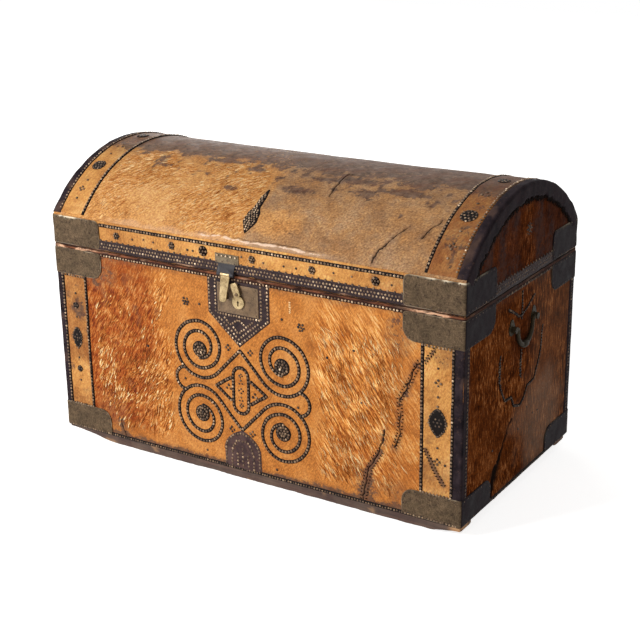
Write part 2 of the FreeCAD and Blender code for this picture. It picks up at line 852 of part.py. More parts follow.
def hasp_plate_seats():
    """Nail seats along the upper edge and at the lower corners of the hasp plate."""
    y = -half_depth - hasp_plate_thickness
    inset = nail_head_radius * 1.5
    z0 = z_seam + hasp_strap_rise
    z1 = z0 + hasp_plate_rise
    reach = hasp_plate_width / 2 - inset
    seats = [(V(hasp_x + share * reach, y, z1 - inset), V(0, -1, 0)) for share in hasp_nail_shares]
    for side in (-1, 1):
        seats.append((V(hasp_x + side * reach, y, z0 + inset), V(0, -1, 0)))
    return seats


def hasp_pin():
    """Pin through the hasp's knuckles."""
    reach = hasp_plate_waist / 2
    return Part.makeCylinder(hasp_pin_radius, 2 * reach, V(hasp_x - reach, hasp_axis_y, z_seam),
                             V(1, 0, 0))


def hasp():
    """Hasp with its knuckle and staple, hanging a little open."""
    half = hasp_width / 2
    tip = hasp_tip_width / 2
    corner = hasp_tip_chamfer
    face = outline([V(hasp_x - half, 0, z_seam), V(hasp_x + half, 0, z_seam),
                    V(hasp_x + tip, 0, z_seam - hasp_length + corner),
                    V(hasp_x + tip - corner, 0, z_seam - hasp_length),
                    V(hasp_x - tip + corner, 0, z_seam - hasp_length),
                    V(hasp_x - tip, 0, z_seam - hasp_length + corner)])
    tongue = face.extrude(V(0, hasp_thickness, 0))
    tongue.translate(V(0, hasp_axis_y - hasp_thickness / 2, 0))
    shell, bore = barrel(hasp_x - half, hasp_x + half, hasp_axis_y, z_seam,
                         hasp_knuckle_radius, hasp_pin_radius + running_gap)
    y0 = hasp_axis_y
    y1 = hasp_axis_y + hasp_thickness / 2 + staple_depth
    z1 = z_seam - staple_drop
    z0 = z1 - staple_length
    staple = box(hasp_x - staple_width / 2, hasp_x + staple_width / 2, y0, y1, z0, z1)
    hole = box(hasp_x - half, hasp_x + half, y0 + hasp_thickness / 2 + staple_bar, y1 - staple_bar,
               z0 + staple_bar, z1 - staple_bar)
    body = tongue.fuse([shell, staple.cut(hole)]).cut(bore).removeSplitter()
    body.rotate(V(0, hasp_axis_y, z_seam), V(1, 0, 0), -hasp_hang_angle)
    return body


# Lid

def lid_front_rail():
    """Straight rail under the staves at the front of the lid."""
    return box(-board_x, board_x, -board_y, -inner_y, z_lid, z_rail_top)


def lid_back_rail():
    """Straight rail under the staves at the back of the lid."""
    return box(-board_x, board_x, inner_y, board_y, z_lid, z_rail_top)


def lid_right_arch():
    """Arched end board of the lid, between the rails and under the staves."""
    return arch_face(stave_inner_radius, z_lid, inner_y, inner_x).extrude(V(board_thickness, 0, 0))


def lid_staves():
    """Bent staves side by side over the arched end boards."""
    inner_end = dome_angle(stave_inner_radius, z_rail_top)
    outer_end = dome_angle(board_radius, z_rail_top)
    staves = []
    for number in range(stave_count):
        low = -1 + 2 * number / stave_count
        high = -1 + 2 * (number + 1) / stave_count
        staves.append(dome_sheet(-board_x, board_x, stave_inner_radius, board_radius,
                                 (low * inner_end, high * inner_end),
                                 (low * outer_end, high * outer_end)))
    return Part.makeCompound(staves)


def dome_hide():
    """One hide over the dome."""
    low = dome_angle(board_radius, z_rail_top)
    high = dome_angle(dome_radius, z_band)
    return dome_sheet(-half_length, half_length, board_radius, dome_radius,
                      (-low, low), (-high, high))


def lid_front_hide():
    """Hide along the front of the lid, meeting the dome's hide at its upper edge."""
    face = outline([V(-half_length, -half_depth, z_lid), V(-half_length, -board_y, z_lid),
                    V(-half_length, -board_y, z_rail_top), V(-half_length, -half_depth, z_band)])
    return face.extrude(V(chest_length, 0, 0))


def lid_right_hide():
    """Arched hide on the end of the lid."""
    return arch_face(board_radius, z_lid, board_y, board_x).extrude(V(hide_thickness, 0, 0))


def lid_edge_bands():
    """Dark leather along the lid's lower edge, between plates, hinges and hasp."""
    ring = leather_ring(z_lid, z_lid + band_strip_height)
    plates = plate_spaces(z_lid - overrun, z_band)
    half = hasp_plate_width / 2 + fit_gap
    hasp_room = box(hasp_x - half, hasp_x + half, -half_depth - overrun, -half_depth + overrun,
                    z_lid - overrun, z_band)
    return ring.cut(plates + hinge_spaces() + [hasp_room])


def arch_binding():
    """Leather folded over the right end of the dome."""
    top = dome_dress(half_length - arch_binding_leg, half_length + trim_thickness, 0)
    end = dome_dress(half_length, half_length + trim_thickness, arch_binding_face)
    return top.fuse(end).removeSplitter()


def dome_strip():
    """Hide strip across the dome beside the right binding."""
    x1 = half_length - arch_binding_leg - dome_strip_gap
    return dome_dress(x1 - dome_strip_width, x1, 0)


# Rear hinges

def leaf_face(z_near, z_far):
    """Leaf outline in the XZ plane with rounded far corners."""
    half = hinge_width / 2
    r = hinge_leaf_radius
    way = math.copysign(1, z_far - z_near)
    bend = r * (1 - math.cos(math.pi / 4))
    one = Part.Arc(V(half, 0, z_far - way * r), V(half - bend, 0, z_far - way * bend),
                   V(half - r, 0, z_far)).toShape()
    two = Part.Arc(V(r - half, 0, z_far), V(bend - half, 0, z_far - way * bend),
                   V(-half, 0, z_far - way * r)).toShape()
    far = Part.LineSegment(V(half - r, 0, z_far), V(r - half, 0, z_far)).toShape()
    near = Part.makePolygon([V(-half, 0, z_far - way * r), V(-half, 0, z_near),
                             V(half, 0, z_near), V(half, 0, z_far - way * r)])
    return Part.Face(Part.Wire([one, far, two] + near.Edges))


def hinge_leaf(way, first):
    """Leaf with every other knuckle, up (way 1) or down (way -1) from the axis."""
    z_near = z_seam + way * fit_gap
    leaf = leaf_face(z_near, z_seam + way * hinge_leaf_height)
    leaf = leaf.extrude(V(0, hinge_leaf_thickness, 0))
    leaf.translate(V(0, half_depth, 0))
    step = hinge_width / hinge_knuckles
    web_reach = hinge_knuckle_offset + hinge_knuckle_radius
    cuts = []
    for number in range(hinge_knuckles):
        x0 = -hinge_width / 2 + number * step
        ours = number % 2 == first
        shell, bore = barrel(x0 + fit_gap / 2, x0 + step - fit_gap / 2, hinge_axis_y, z_seam,
                             hinge_knuckle_radius, hinge_pin_radius + running_gap)
        if ours:
            web = box(x0 + fit_gap / 2, x0 + step - fit_gap / 2, half_depth,
                      half_depth + web_reach, min(z_near, z_near + way * hinge_knuckle_radius),
                      max(z_near, z_near + way * hinge_knuckle_radius))
            leaf = leaf.fuse([shell, web])
            cuts.append(bore)
        else:
            cuts.append(Part.makeCylinder(hinge_knuckle_radius + fit_gap, step + fit_gap,
                                          V(x0 - fit_gap / 2, hinge_axis_y, z_seam), V(1, 0, 0)))
    return leaf.cut(cuts).removeSplitter()


def both_hinges(shape):
    """Hinge part repeated at the two hinge places."""
    right = shape.copy()
    right.translate(V(hinge_reach, 0, 0))
    left = shape.copy()
    left.translate(V(-hinge_reach, 0, 0))
    return Part.makeCompound([left, right])


def hinge_pin():
    """Pin with a flat head at each end."""
    half = hinge_width / 2 + fit_gap / 2
    stem = Part.makeCylinder(hinge_pin_radius, 2 * half, V(-half, hinge_axis_y, z_seam), V(1, 0, 0))
    thick = hinge_leaf_thickness
    one = Part.makeCylinder(hinge_pin_head, thick, V(half, hinge_axis_y, z_seam), V(1, 0, 0))
    two = Part.makeCylinder(hinge_pin_head, thick, V(-half - thick, hinge_axis_y, z_seam), V(1, 0, 0))
    return stem.fuse([one, two]).removeSplitter()


def hinge_seats(way):
    """Nail seats of one pair of leaves."""
    seats = []
    for side in (-1, 1):
        for across, up in hinge_nail_shares:
            x = side * hinge_reach + across * hinge_width
            z = z_seam + way * up * hinge_leaf_height
            seats.append((V(x, half_depth + hinge_leaf_thickness, z), V(0, 1, 0)))
    return seats


# Drop handles

def handle_rose(side):
    """Tear-shaped rose with the post that holds one end of the bail."""
    y = handle_centre_y + side * handle_half_span
    x1 = half_length + rose_thickness
    low = Part.makeCylinder(rose_radius, rose_thickness, V(half_length, y, handle_z), V(1, 0, 0))
    crown_z = handle_z + rose_crown_rise
    crown = Part.makeCylinder(rose_crown_radius, rose_thickness, V(half_length, y, crown_z), V(1, 0, 0))
    lean = math.asin((rose_radius - rose_crown_radius) / rose_crown_rise)
    wide = rose_radius * math.cos(lean)
    slim = rose_crown_radius * math.cos(lean)
    rise_wide = rose_radius * math.sin(lean)
    rise_slim = rose_crown_radius * math.sin(lean)
    neck = outline([V(half_length, y - wide, handle_z + rise_wide),
                    V(half_length, y + wide, handle_z + rise_wide),
                    V(half_length, y + slim, crown_z + rise_slim),
                    V(half_length, y - slim, crown_z + rise_slim)]).extrude(V(rose_thickness, 0, 0))
    post = Part.makeCylinder(post_radius, post_reach, V(x1, y, handle_z), V(1, 0, 0))
    bore = Part.makeCylinder(bail_radius + running_gap, 4 * post_radius,
                             V(bail_x(), y - 2 * post_radius, handle_z), V(0, 1, 0))
    return low.fuse([crown, neck, post]).cut(bore).removeSplitter()


def bail_x():
    """Distance of the bail's plane from the middle of the chest."""
    return half_length + rose_thickness + post_reach / 2


def rose_seats():
    """Nail seat in the crown of each right-hand rose."""
    return [(V(half_length + rose_thickness, handle_centre_y + side * handle_half_span,
               handle_z + rose_crown_rise), V(1, 0, 0)) for side in (-1, 1)]


def handle_roses():
    """The four roses."""
    right = [pierced(handle_rose(side), rose_seats()) for side in (-1, 1)]
    return Part.makeCompound(right + [flipped_x(rose) for rose in right])


def right_bail():
    """Bail that hangs from the two posts, thicker at the grip."""
    x = bail_x()
    y0 = handle_centre_y
    end = handle_half_span + post_radius - bail_end_gap
    shoulder = bail_bend + bail_shoulder
    bend_z = handle_z - bail_shoulder
    turn = bail_shoulder * math.cos(math.pi / 4)
    pin_left = Part.LineSegment(V(x, y0 - end, handle_z), V(x, y0 - shoulder, handle_z)).toShape()
    bend_left = Part.Arc(V(x, y0 - shoulder, handle_z),
                         V(x, y0 - shoulder + turn, bend_z + turn),
                         V(x, y0 - bail_bend, bend_z)).toShape()
    bow = Part.Arc(V(x, y0 - bail_bend, bend_z), V(x, y0, bend_z - bail_bend),
                   V(x, y0 + bail_bend, bend_z)).toShape()
    bend_right = Part.Arc(V(x, y0 + bail_bend, bend_z),
                          V(x, y0 + shoulder - turn, bend_z + turn),
                          V(x, y0 + shoulder, handle_z)).toShape()
    pin_right = Part.LineSegment(V(x, y0 + shoulder, handle_z), V(x, y0 + end, handle_z)).toShape()
    path = Part.Wire([pin_left, bend_left, bow, bend_right, pin_right])
    section = Part.Wire(Part.makeCircle(bail_radius, V(x, y0 - end, handle_z), V(0, 1, 0)))
    rod = path.makePipeShell([section], True, True)
    return rod.fuse(bail_grip()).removeSplitter()


def bail_grip():
    """Swelling at the middle of the bail, round the bow."""
    x = bail_x()
    y0 = handle_centre_y
    z = handle_z - bail_shoulder - bail_bend
    half = grip_length / 2
    slim = bail_radius * grip_slim_share
    curve = Part.Arc(V(x, y0 - half, z + slim), V(x, y0, z + grip_radius),
                     V(x, y0 + half, z + slim)).toShape()
    base = Part.makePolygon([V(x, y0 + half, z + slim), V(x, y0 + half, z),
                             V(x, y0 - half, z), V(x, y0 - half, z + slim)])
    return Part.Face(Part.Wire([curve] + base.Edges)).revolve(V(x, y0, z), V(0, 1, 0), 360)


# Nail groups and the whole list of nodes

def body_nail_seats():
    """Nail seats on the box."""
    seats = corner_seats(lower_plate_z) + corner_seats(upper_plate_z)
    seats = seats + lock_plate_seats() + hinge_seats(-1)
    return seats + rose_seats() + turned_seats(rose_seats(), -1, 1)


def lid_nail_seats():
    """Nail seats on the lid."""
    return corner_seats(lid_plate_z) + hasp_plate_seats() + hinge_seats(1)


def body_nodes():
    """Pieces of the box that nails pass through, by node name."""
    nodes = {
        "bottom_board": bottom_board(), "front_board": front_board(), "back_board": back_board(),
        "left_end_board": flipped_x(right_end_board()), "right_end_board": right_end_board(),
        "front_hide": front_hide(), "back_hide": back_hide(),
        "left_end_hide": flipped_x(right_end_hide()), "right_end_hide": right_end_hide(),
        "shield_patch": shield_patch(), "lock_plate": lock_plate(),
        "hinge_lower_leaves": both_hinges(hinge_leaf(-1, 1)),
    }
    for corner, side in corners.items():
        nodes["lower_plate_" + corner] = at_corner(corner_plate(*lower_plate_z), side)
        nodes["upper_plate_" + corner] = at_corner(corner_plate(*upper_plate_z), side)
    return nodes


def lid_nodes():
    """Pieces of the lid that nails pass through, by node name."""
    nodes = {
        "lid_front_rail": lid_front_rail(), "lid_back_rail": lid_back_rail(),
        "lid_left_arch": flipped_x(lid_right_arch()), "lid_right_arch": lid_right_arch(),
        "lid_front_hide": lid_front_hide(), "lid_back_hide": flipped_y(lid_front_hide()),
        "lid_left_hide": flipped_x(lid_right_hide()), "lid_right_hide": lid_right_hide(),
        "hasp_plate": hasp_plate(), "hinge_upper_leaves": both_hinges(hinge_leaf(1, 0)),
    }
    for corner, side in corners.items():
        nodes["lid_plate_" + corner] = at_corner(lid_corner_plate(), side)
    return nodes


def other_nodes():
    """Pieces that no nail passes through, by node name."""
    return {
        "front_runner": runner(-half_depth + front_runner_inset),
        "rear_runner": runner(half_depth - rear_runner_inset - runner_width),
        "corner_bindings": corner_bindings(), "rim_binding": rim_binding(),
        "front_strips": front_strips(), "foot_patch": foot_patch(),
        "scroll_strips": scroll_strips(),
        "lock_case": lock_case(), "lock_bolt": lock_bolt(), "keyhole_disc": keyhole_disc(),
        "cover_rivet": cover_rivet(), "keyhole_cover": keyhole_cover(),
        "handle_roses": handle_roses(),
        "right_bail": right_bail(), "left_bail": flipped_x(right_bail()),
        "lid_staves": lid_staves(), "dome_hide": dome_hide(), "lid_edge_bands": lid_edge_bands(),
        "arch_bindings": Part.makeCompound([arch_binding(), flipped_x(arch_binding())]),
        "dome_strips": Part.makeCompound([dome_strip(), flipped_x(dome_strip())]),
        "hasp_pin": hasp_pin(), "hasp": hasp(), "hinge_pins": both_hinges(hinge_pin()),
        "body_nails": nails(body_nail_seats()), "lid_nails": nails(lid_nail_seats()),
    }


def build():
    """Make every node and write it as a STEP file."""
    os.makedirs("parts", exist_ok=True)
    body_seats = body_nail_seats()
    lid_seats = lid_nail_seats()
    nodes = {name: pierced(shape, body_seats) for name, shape in body_nodes().items()}
    nodes.update({name: pierced(shape, lid_seats) for name, shape in lid_nodes().items()})
    nodes.update(other_nodes())
    for name, shape in nodes.items():
        shape.exportStep("parts/" + name + ".step")
        print(name, len(shape.Solids), "solids", round(shape.Volume), "mm3", shape.isValid())


build()
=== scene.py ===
# %% [markdown]
# A trunk covered in hair-on hide. The boards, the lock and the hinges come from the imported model,
# which holds their real sizes. This script dresses them: hides with their wear, leather trim,
# folded metal plates, some thousands of round nail heads, and the finish of every surface.
# Everything is in one frame: +X along the chest, the front at -Y, +Z up, the floor at zero.

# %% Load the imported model
import math
import bpy
import numpy as np
from mathutils import Matrix, Vector


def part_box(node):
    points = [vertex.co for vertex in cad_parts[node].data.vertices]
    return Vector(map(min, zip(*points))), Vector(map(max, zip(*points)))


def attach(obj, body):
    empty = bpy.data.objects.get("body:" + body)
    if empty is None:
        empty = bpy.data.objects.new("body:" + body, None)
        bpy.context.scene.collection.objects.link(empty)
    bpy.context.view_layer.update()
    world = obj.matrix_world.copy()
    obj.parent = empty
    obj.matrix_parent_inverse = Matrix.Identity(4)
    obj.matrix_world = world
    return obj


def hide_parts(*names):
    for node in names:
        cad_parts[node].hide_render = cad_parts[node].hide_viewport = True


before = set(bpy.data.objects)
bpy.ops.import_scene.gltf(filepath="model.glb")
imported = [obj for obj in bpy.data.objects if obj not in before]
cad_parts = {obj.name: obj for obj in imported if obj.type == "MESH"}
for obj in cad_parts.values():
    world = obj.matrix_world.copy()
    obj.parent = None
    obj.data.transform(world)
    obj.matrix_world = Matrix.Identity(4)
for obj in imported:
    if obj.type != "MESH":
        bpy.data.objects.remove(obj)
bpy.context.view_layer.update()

# %% [markdown]
# Places on the chest are easier to think of in millimetres on one of its faces than in metres in
# space. The sizes that every face needs are read from the model, so nothing is typed twice.
# A distance called v is measured up from the foot of the box, or along the dome from its top line.

# %% Sizes read from the model
mm = 0.001
half_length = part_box("front_hide")[1].x / mm
half_depth = -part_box("front_hide")[0].y / mm
z_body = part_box("front_hide")[0].z / mm
body_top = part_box("front_hide")[1].z / mm - z_body
lid_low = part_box("lid_front_hide")[0].z / mm - z_body
band_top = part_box("lid_front_hide")[1].z / mm - z_body
dome_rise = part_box("dome_hide")[1].z / mm - z_body - band_top
dome_radius = (half_depth ** 2 + dome_rise ** 2) / (2 * dome_rise)
dome_centre = band_top + dome_rise - dome_radius
dome_edge = dome_radius * math.asin(half_depth / dome_radius)
degree = math.radians(1) * dome_radius
print(f"dome radius {dome_radius:.1f} mm, {2 * dome_edge:.0f} mm from edge to edge over the top")

# %% [markdown]
# Old leather is never flat. A small value noise, written with arrays so that it can be asked for
# a whole sheet at once, gives the swell of the hides, the ragged edges of worn places and the
# places where colours change. The same numbers are used for a hide and for the nails in it, so
# each nail head sits on the leather.

# %% Noise and soft steps
def cloud(u, v, size, seed, layers=3):
    """Smooth noise from -1 to 1 over a face, with blobs about as wide as size."""
    total = np.zeros(np.broadcast(u, v).shape)
    weight, sum_of_weights = 1.0, 0.0
    for layer in range(layers):
        a, b = u / size + 31.7 * seed, v / size + 17.3 * layer
        i, j = np.floor(a), np.floor(b)
        fa, fb = a - i, b - j
        fa, fb = fa * fa * (3 - 2 * fa), fb * fb * (3 - 2 * fb)

        def corner(di, dj):
            wave = np.sin((i + di) * 127.1 + (j + dj) * 311.7 + seed * 74.7) * 43758.5453
            return (wave - np.floor(wave)) * 2 - 1

        low = corner(0, 0) * (1 - fa) + corner(1, 0) * fa
        high = corner(0, 1) * (1 - fa) + corner(1, 1) * fa
        total += weight * (low * (1 - fb) + high * fb)
        sum_of_weights += weight
        weight, size = weight / 2, size / 2
    return total / sum_of_weights * 1.4


def step_up(value, low, high):
    """0 below low, 1 above high, smooth between; with low above high it steps down."""
    share = np.clip((value - low) / (high - low), 0, 1)
    return share * share * (3 - 2 * share)


def patches(u, v, size, seed, low, high, layers=3):
    """Blots of the noise, from 0 where it is below low to 1 where it is above high."""
    return step_up(cloud(u, v, size, seed, layers), low, high)


def near_path(u, v, path):
    """Distance of each point from a line through the points of a path."""
    nearest = np.full(np.broadcast(u, v).shape, 1e9)
    for (u0, v0), (u1, v1) in zip(path, path[1:]):
        du, dv = u1 - u0, v1 - v0
        along = np.clip(((u - u0) * du + (v - v0) * dv) / (du * du + dv * dv), 0, 1)
        nearest = np.minimum(nearest, np.hypot(u - u0 - along * du, v - v0 - along * dv))
    return nearest


# %% [markdown]
# Each face of the chest gets a function that turns a place on it, and a height over it, into a
# point in space. Seen from outside, u runs to the right and v upwards, so a sheet that is made
# with them always has its outer side outwards. The four upright walls share one form.

# %% The faces of the chest
def swell(u, v, seed, half_width):
    """Gentle rise and fall of the box's hides, fading out towards their nailed edges."""
    edge = np.minimum(half_width - np.abs(u), np.minimum(v, body_top - v))
    waves = 0.9 * cloud(u, v, 150, seed, 2) + 0.35 * cloud(u, v, 34, seed + 1, 2)
    return np.where(v < body_top, (0.3 + waves) * step_up(edge, 0, 70), 0)


def wall_face(reach, half_width, outward, ahead, seed):
    """Face function of an upright wall that stands reach from the middle of the chest."""
    def face(u, v, lift=0.0):
        out = reach + lift + swell(u, v, seed, half_width)
        x, y = (outward[i] * out + ahead[i] * u for i in (0, 1))
        return np.stack(np.broadcast_arrays(x, y, v + z_body), axis=-1) * mm
    return face


# How far out a wall stands, half its width, the ways outwards and to its right, and a seed.
walls = ((half_depth, half_length, (0, -1), (1, 0), 3), (half_length, half_depth, (1, 0), (0, 1), 7),
         (half_depth, half_length, (0, 1), (-1, 0), 5), (half_length, half_depth, (-1, 0), (0, -1), 9))
wall_faces = [wall_face(*wall) for wall in walls]
front_face, right_face, back_face, left_face = wall_faces


def dome_face(u, v, lift=0.0):
    """v is the way along the arc from the top line, negative towards the front."""
    sag = -1.3 * step_up(np.abs(u), half_length, 0) * step_up(np.abs(v), dome_edge, 0)
    edge = np.minimum(half_length - np.abs(u), dome_edge - np.abs(v))
    waves = 0.8 * cloud(u, v, 170, 13, 2) + 0.35 * cloud(u, v, 40, 14, 2)
    out = dome_radius + lift + sag + (0.6 + waves) * step_up(edge, 0, 60)
    turn = v / dome_radius
    high = dome_centre + z_body + out * np.cos(turn)
    return np.stack(np.broadcast_arrays(u, out * np.sin(turn), high), axis=-1) * mm


print("a point on the front:", front_face(0.0, 100.0))

# %% [markdown]
# The rim, the leather at the corners and the folded plates pass round the chest's upright edges.
# For them the four walls are one long strip: s runs from the front left corner to the right and
# all the way round. Near a corner the strip turns through a quarter circle, so a sheet that is
# laid across it comes out folded, with a rounded edge as hammered metal or wet leather has.

# %% The four walls as one strip
corner_fold = 2.5
girth = 4 * (half_length + half_depth)
corners = {"front_left": 0.0, "front_right": 2 * half_length,
           "rear_right": 2 * half_length + 2 * half_depth, "rear_left": girth - 2 * half_depth}


def around(s, v, lift=0.0):
    """Place on the walls; s is the way round the chest from its front left corner."""
    s, v, lift = np.broadcast_arrays(np.asarray(s, float) % girth, v, lift)
    spots = np.zeros(s.shape + (3,))
    start = 0.0
    for face, (reach, half, outward, ahead, seed) in zip(wall_faces, walls):
        u = s - start - half
        on_wall = np.abs(u) <= half + 1e-9
        flat = np.minimum(np.abs(u), half - corner_fold) * np.sign(u)
        turn = math.pi / 4 * np.clip((np.abs(u) - half) / corner_fold + 1, 0, 1) * np.sign(u)
        base = face(flat, v, -corner_fold)
        x, y = (outward[i] * np.cos(turn) + ahead[i] * np.sin(turn) for i in (0, 1))
        out = np.stack([x, y, 0 * turn], axis=-1)
        folded = base + out * (corner_fold + lift)[..., None] * mm
        spots[on_wall] = folded[on_wall]
        start += 2 * half
    return spots


# %% [markdown]
# Most pieces start as a primitive and are shaped from there. These helpers do what a hand does
# between the steps: clear the selection, apply the modifiers, read and set all the points of a
# mesh at once, and seat a finished piece on its body in place of the model's plain one.

# %% Helpers for modelling
def mode(name):
    bpy.ops.object.mode_set(mode=name)


def start_clean():
    if bpy.context.object and bpy.context.object.mode != "OBJECT":
        mode("OBJECT")
    bpy.ops.object.select_all(action="DESELECT")


def take_up(piece):
    start_clean()
    piece.select_set(True)
    bpy.context.view_layer.objects.active = piece


def points_of(piece):
    flat = np.empty(len(piece.data.vertices) * 3)
    piece.data.vertices.foreach_get("co", flat)
    return flat.reshape(-1, 3)


def move_points(piece, points):
    piece.data.vertices.foreach_set("co", np.ascontiguousarray(points, dtype=np.float32).ravel())
    piece.data.update()


def apply_modifier(piece, kind, **settings):
    take_up(piece)
    modifier = piece.modifiers.new(kind.lower(), kind)
    for setting, value in settings.items():
        setattr(modifier, setting, value)
    bpy.ops.object.modifier_apply(modifier=modifier.name)


def smooth(piece, angle):
    take_up(piece)
    bpy.ops.object.shade_smooth_by_angle(angle=math.radians(angle))


def seat(piece, finish, body, slot, *nodes):
    """Give the finish, apply the place, ride on a body and stand for model nodes; slot is not used."""
    piece.data.materials.append(finish)
    take_up(piece)
    bpy.ops.object.transform_apply(location=True, rotation=True, scale=True)
    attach(piece, body)
    if nodes:
        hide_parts(*nodes)


def repeated(faces, size, count):
    """The faces of count copies of a pattern that has size points."""
    return [[corner + size * number for corner in face] for number in range(count) for face in faces]


def mesh_object(name, points, faces):
    mesh = bpy.data.meshes.new(name)
    mesh.from_pydata(points.reshape(-1, 3).tolist(), [], faces)
    mesh.update()
    piece = bpy.data.objects.new(name, mesh)
    bpy.context.scene.collection.objects.link(piece)
    return piece


def give_points(piece, name, kind, values):
    """Store a number or a vector for each point of a mesh."""
    layer = piece.data.attributes.new(name, kind, "POINT")
    layer.data.foreach_set("value" if kind == "FLOAT" else "vector", values.astype(np.float32).ravel())


def paint(piece, u, v, hair=0.0, tone=0.0, wear=0.0, crack=0.0, bare=0.0):
    """Masks per point: long hair, tone, grime, cracks and bare skin, and the flat place; on some pieces they
    also carry painted shade and highlight.
    """
    count = len(piece.data.vertices)
    zones = np.stack([np.broadcast_to(mask, count) for mask in (hair, tone, wear, crack)], axis=-1)
    layer = piece.data.color_attributes.new("zones", "FLOAT_COLOR", "POINT")
    layer.data.foreach_set("color", np.clip(zones, 0, 1).astype(np.float32).ravel())
    give_points(piece, "bare", "FLOAT", np.clip(np.broadcast_to(bare, count), 0, 1))
    places = np.stack([np.broadcast_to(way, count) for way in (u, v, 0.0)], axis=-1) * mm
    give_points(piece, "lay", "FLOAT_VECTOR", places)


# %% [markdown]
# A hide or a strip of leather is a grid that is laid on a face of the chest. While the grid is
# still flat, one unit is one millimetre: its rows can be set closer near an edge, and it is cut
# finer along cracks, which are too thin for the rest of the grid. Masks are worked out on the flat
# places as well. Solidify then gives the laid sheet a back, so that it is closed, not a film.

# %% Sheets laid on a face
def steps(low, high, size):
    return np.linspace(low, high, max(2, round((high - low) / size) + 1))


def soft_steps(low, high, size):
    """Even steps, with closer ones at both ends for a rounded edge."""
    rim = np.array([0.0, 0.5, 1.2, 2.4])
    return np.concatenate([low + rim, steps(low + 2.4 + size, high - 2.4 - size, size), (high - rim)[::-1]])


def pick_faces(piece, test):
    """Select the faces of a flat sheet whose middles pass a test, and stay in edit mode."""
    take_up(piece)
    mode("EDIT")
    bpy.context.tool_settings.mesh_select_mode = (False, False, True)
    bpy.ops.mesh.select_all(action="DESELECT")
    mode("OBJECT")
    middles = np.empty(len(piece.data.polygons) * 3)
    piece.data.polygons.foreach_get("center", middles)
    piece.data.polygons.foreach_set("select", test(middles[0::3], middles[1::3]))
    mode("EDIT")


def sheet(name, u_stops, v_stops, finer=(), hole=None):
    """Flat grid through the given stops, cut finer near paths; returns it and its places."""
    columns, rows = len(u_stops) - 1, len(v_stops) - 1
    start_clean()
    bpy.ops.mesh.primitive_grid_add(x_subdivisions=columns, y_subdivisions=rows, size=2)
    piece = bpy.context.object
    piece.name = name
    grid = points_of(piece)
    u = np.interp((grid[:, 0] + 1) / 2 * columns, np.arange(columns + 1), u_stops)
    v = np.interp((grid[:, 1] + 1) / 2 * rows, np.arange(rows + 1), v_stops)
    move_points(piece, np.stack([u, v, 0 * u], axis=-1))
    if finer:
        pick_faces(piece, lambda u, v: np.min([near_path(u, v, path) for path in finer], axis=0) < 9)
        bpy.ops.mesh.subdivide(number_cuts=2)
        mode("OBJECT")
    if hole:
        low_u, high_u, low_v, high_v = hole
        pick_faces(piece, lambda u, v: (u > low_u) * (u < high_u) * (v > low_v) * (v < high_v))
        bpy.ops.mesh.delete(type="FACE")
        mode("OBJECT")
    if finer or hole:
        grid = points_of(piece)
        u, v = grid[:, 0], grid[:, 1]
    return piece, u, v


def rolled(distance, thickness, width=1.6):
    """How far a cut edge curls down, by the distance from it."""
    return -0.7 * thickness * step_up(distance, width, -0.01)


def thicken(piece, thickness):
    apply_modifier(piece, "SOLIDIFY", thickness=thickness * mm, offset=-1.0)
    smooth(piece, 50)


def strip(name, face, u_span, v_span, size, thickness, ragged, lift=None, rows=None):
    """Plain strip of leather with soft, slightly wavy edges."""
    piece, u, v = sheet(name, soft_steps(*u_span, size), soft_steps(*v_span, rows or size))
    edge = np.minimum(np.minimum(u - u.min(), u.max() - u), np.minimum(v - v.min(), v.max() - v))
    shift = step_up(edge, 6, 0)
    u_out = u + ragged * cloud(u, v, 15, 41, 2) * shift
    v_out = v + ragged * cloud(u, v, 15, 42, 2) * shift
    level = thickness if lift is None else lift
    waves = 0.25 * cloud(u, v, 24, 43, 2)
    move_points(piece, face(u_out, v_out, level + waves + rolled(edge, thickness)))
    return piece, u, v


# %% [markdown]
# Nail heads are the main ornament: round brass heads about five millimetres wide, set about seven
# apart. One head is modelled from a sphere that is cut in half, closed and flattened. Thousands of
# separate objects would be slow, so the head is copied into one mesh for each row or group. Each
# copy is turned, tipped and sized a little differently, as hand-driven nails are, and carries a
# number of its own that its finish uses to make some heads darker than others.

# %% One nail head and rows of them
start_clean()
bpy.ops.mesh.primitive_uv_sphere_add(segments=10, ring_count=6, radius=1.0)
nail_head = bpy.context.object
nail_head.name = "nail_head_pattern"
mode("EDIT")
bpy.ops.mesh.select_all(action="SELECT")
bpy.ops.mesh.bisect(plane_co=(0, 0, -0.12), plane_no=(0, 0, 1), clear_inner=True, use_fill=True)
bpy.ops.mesh.select_all(action="SELECT")
bpy.ops.transform.resize(value=(1, 1, 0.62))
mode("OBJECT")
nail_points = points_of(nail_head)
nail_faces = [list(face.vertices) for face in nail_head.data.polygons]
bpy.data.objects.remove(nail_head)
dice = np.random.default_rng(11)


def spaced(path, pitch, closed=False):
    """Evenly spaced places along a path, about pitch apart."""
    line = np.array(path, float)
    if closed:
        line = np.vstack([line, line[:1]])
    way = np.concatenate([[0], np.cumsum(np.hypot(*np.diff(line, axis=0).T))])
    count = max(1, round(way[-1] / pitch))
    stops = np.arange(count if closed else count + 1) * way[-1] / count
    return np.stack([np.interp(stops, way, line[:, 0]), np.interp(stops, way, line[:, 1])], axis=-1)


def circle(turns, radius=1.0, centre=(0, 0)):
    """Places on a circle at angles from +u."""
    return np.stack([centre[0] + radius * np.cos(turns), centre[1] + radius * np.sin(turns)], axis=-1)


def arc(u, v, radius, start, end, count=40):
    """Path along a circle, angles in degrees."""
    return circle(np.radians(np.linspace(start, end, count)), radius, (u, v))


def unit(ways):
    return ways / np.linalg.norm(ways, axis=-1)[:, None]


def leftwards(ahead):
    """The way to the left of each way in a face."""
    return np.stack([-ahead[..., 1], ahead[..., 0]], axis=-1)


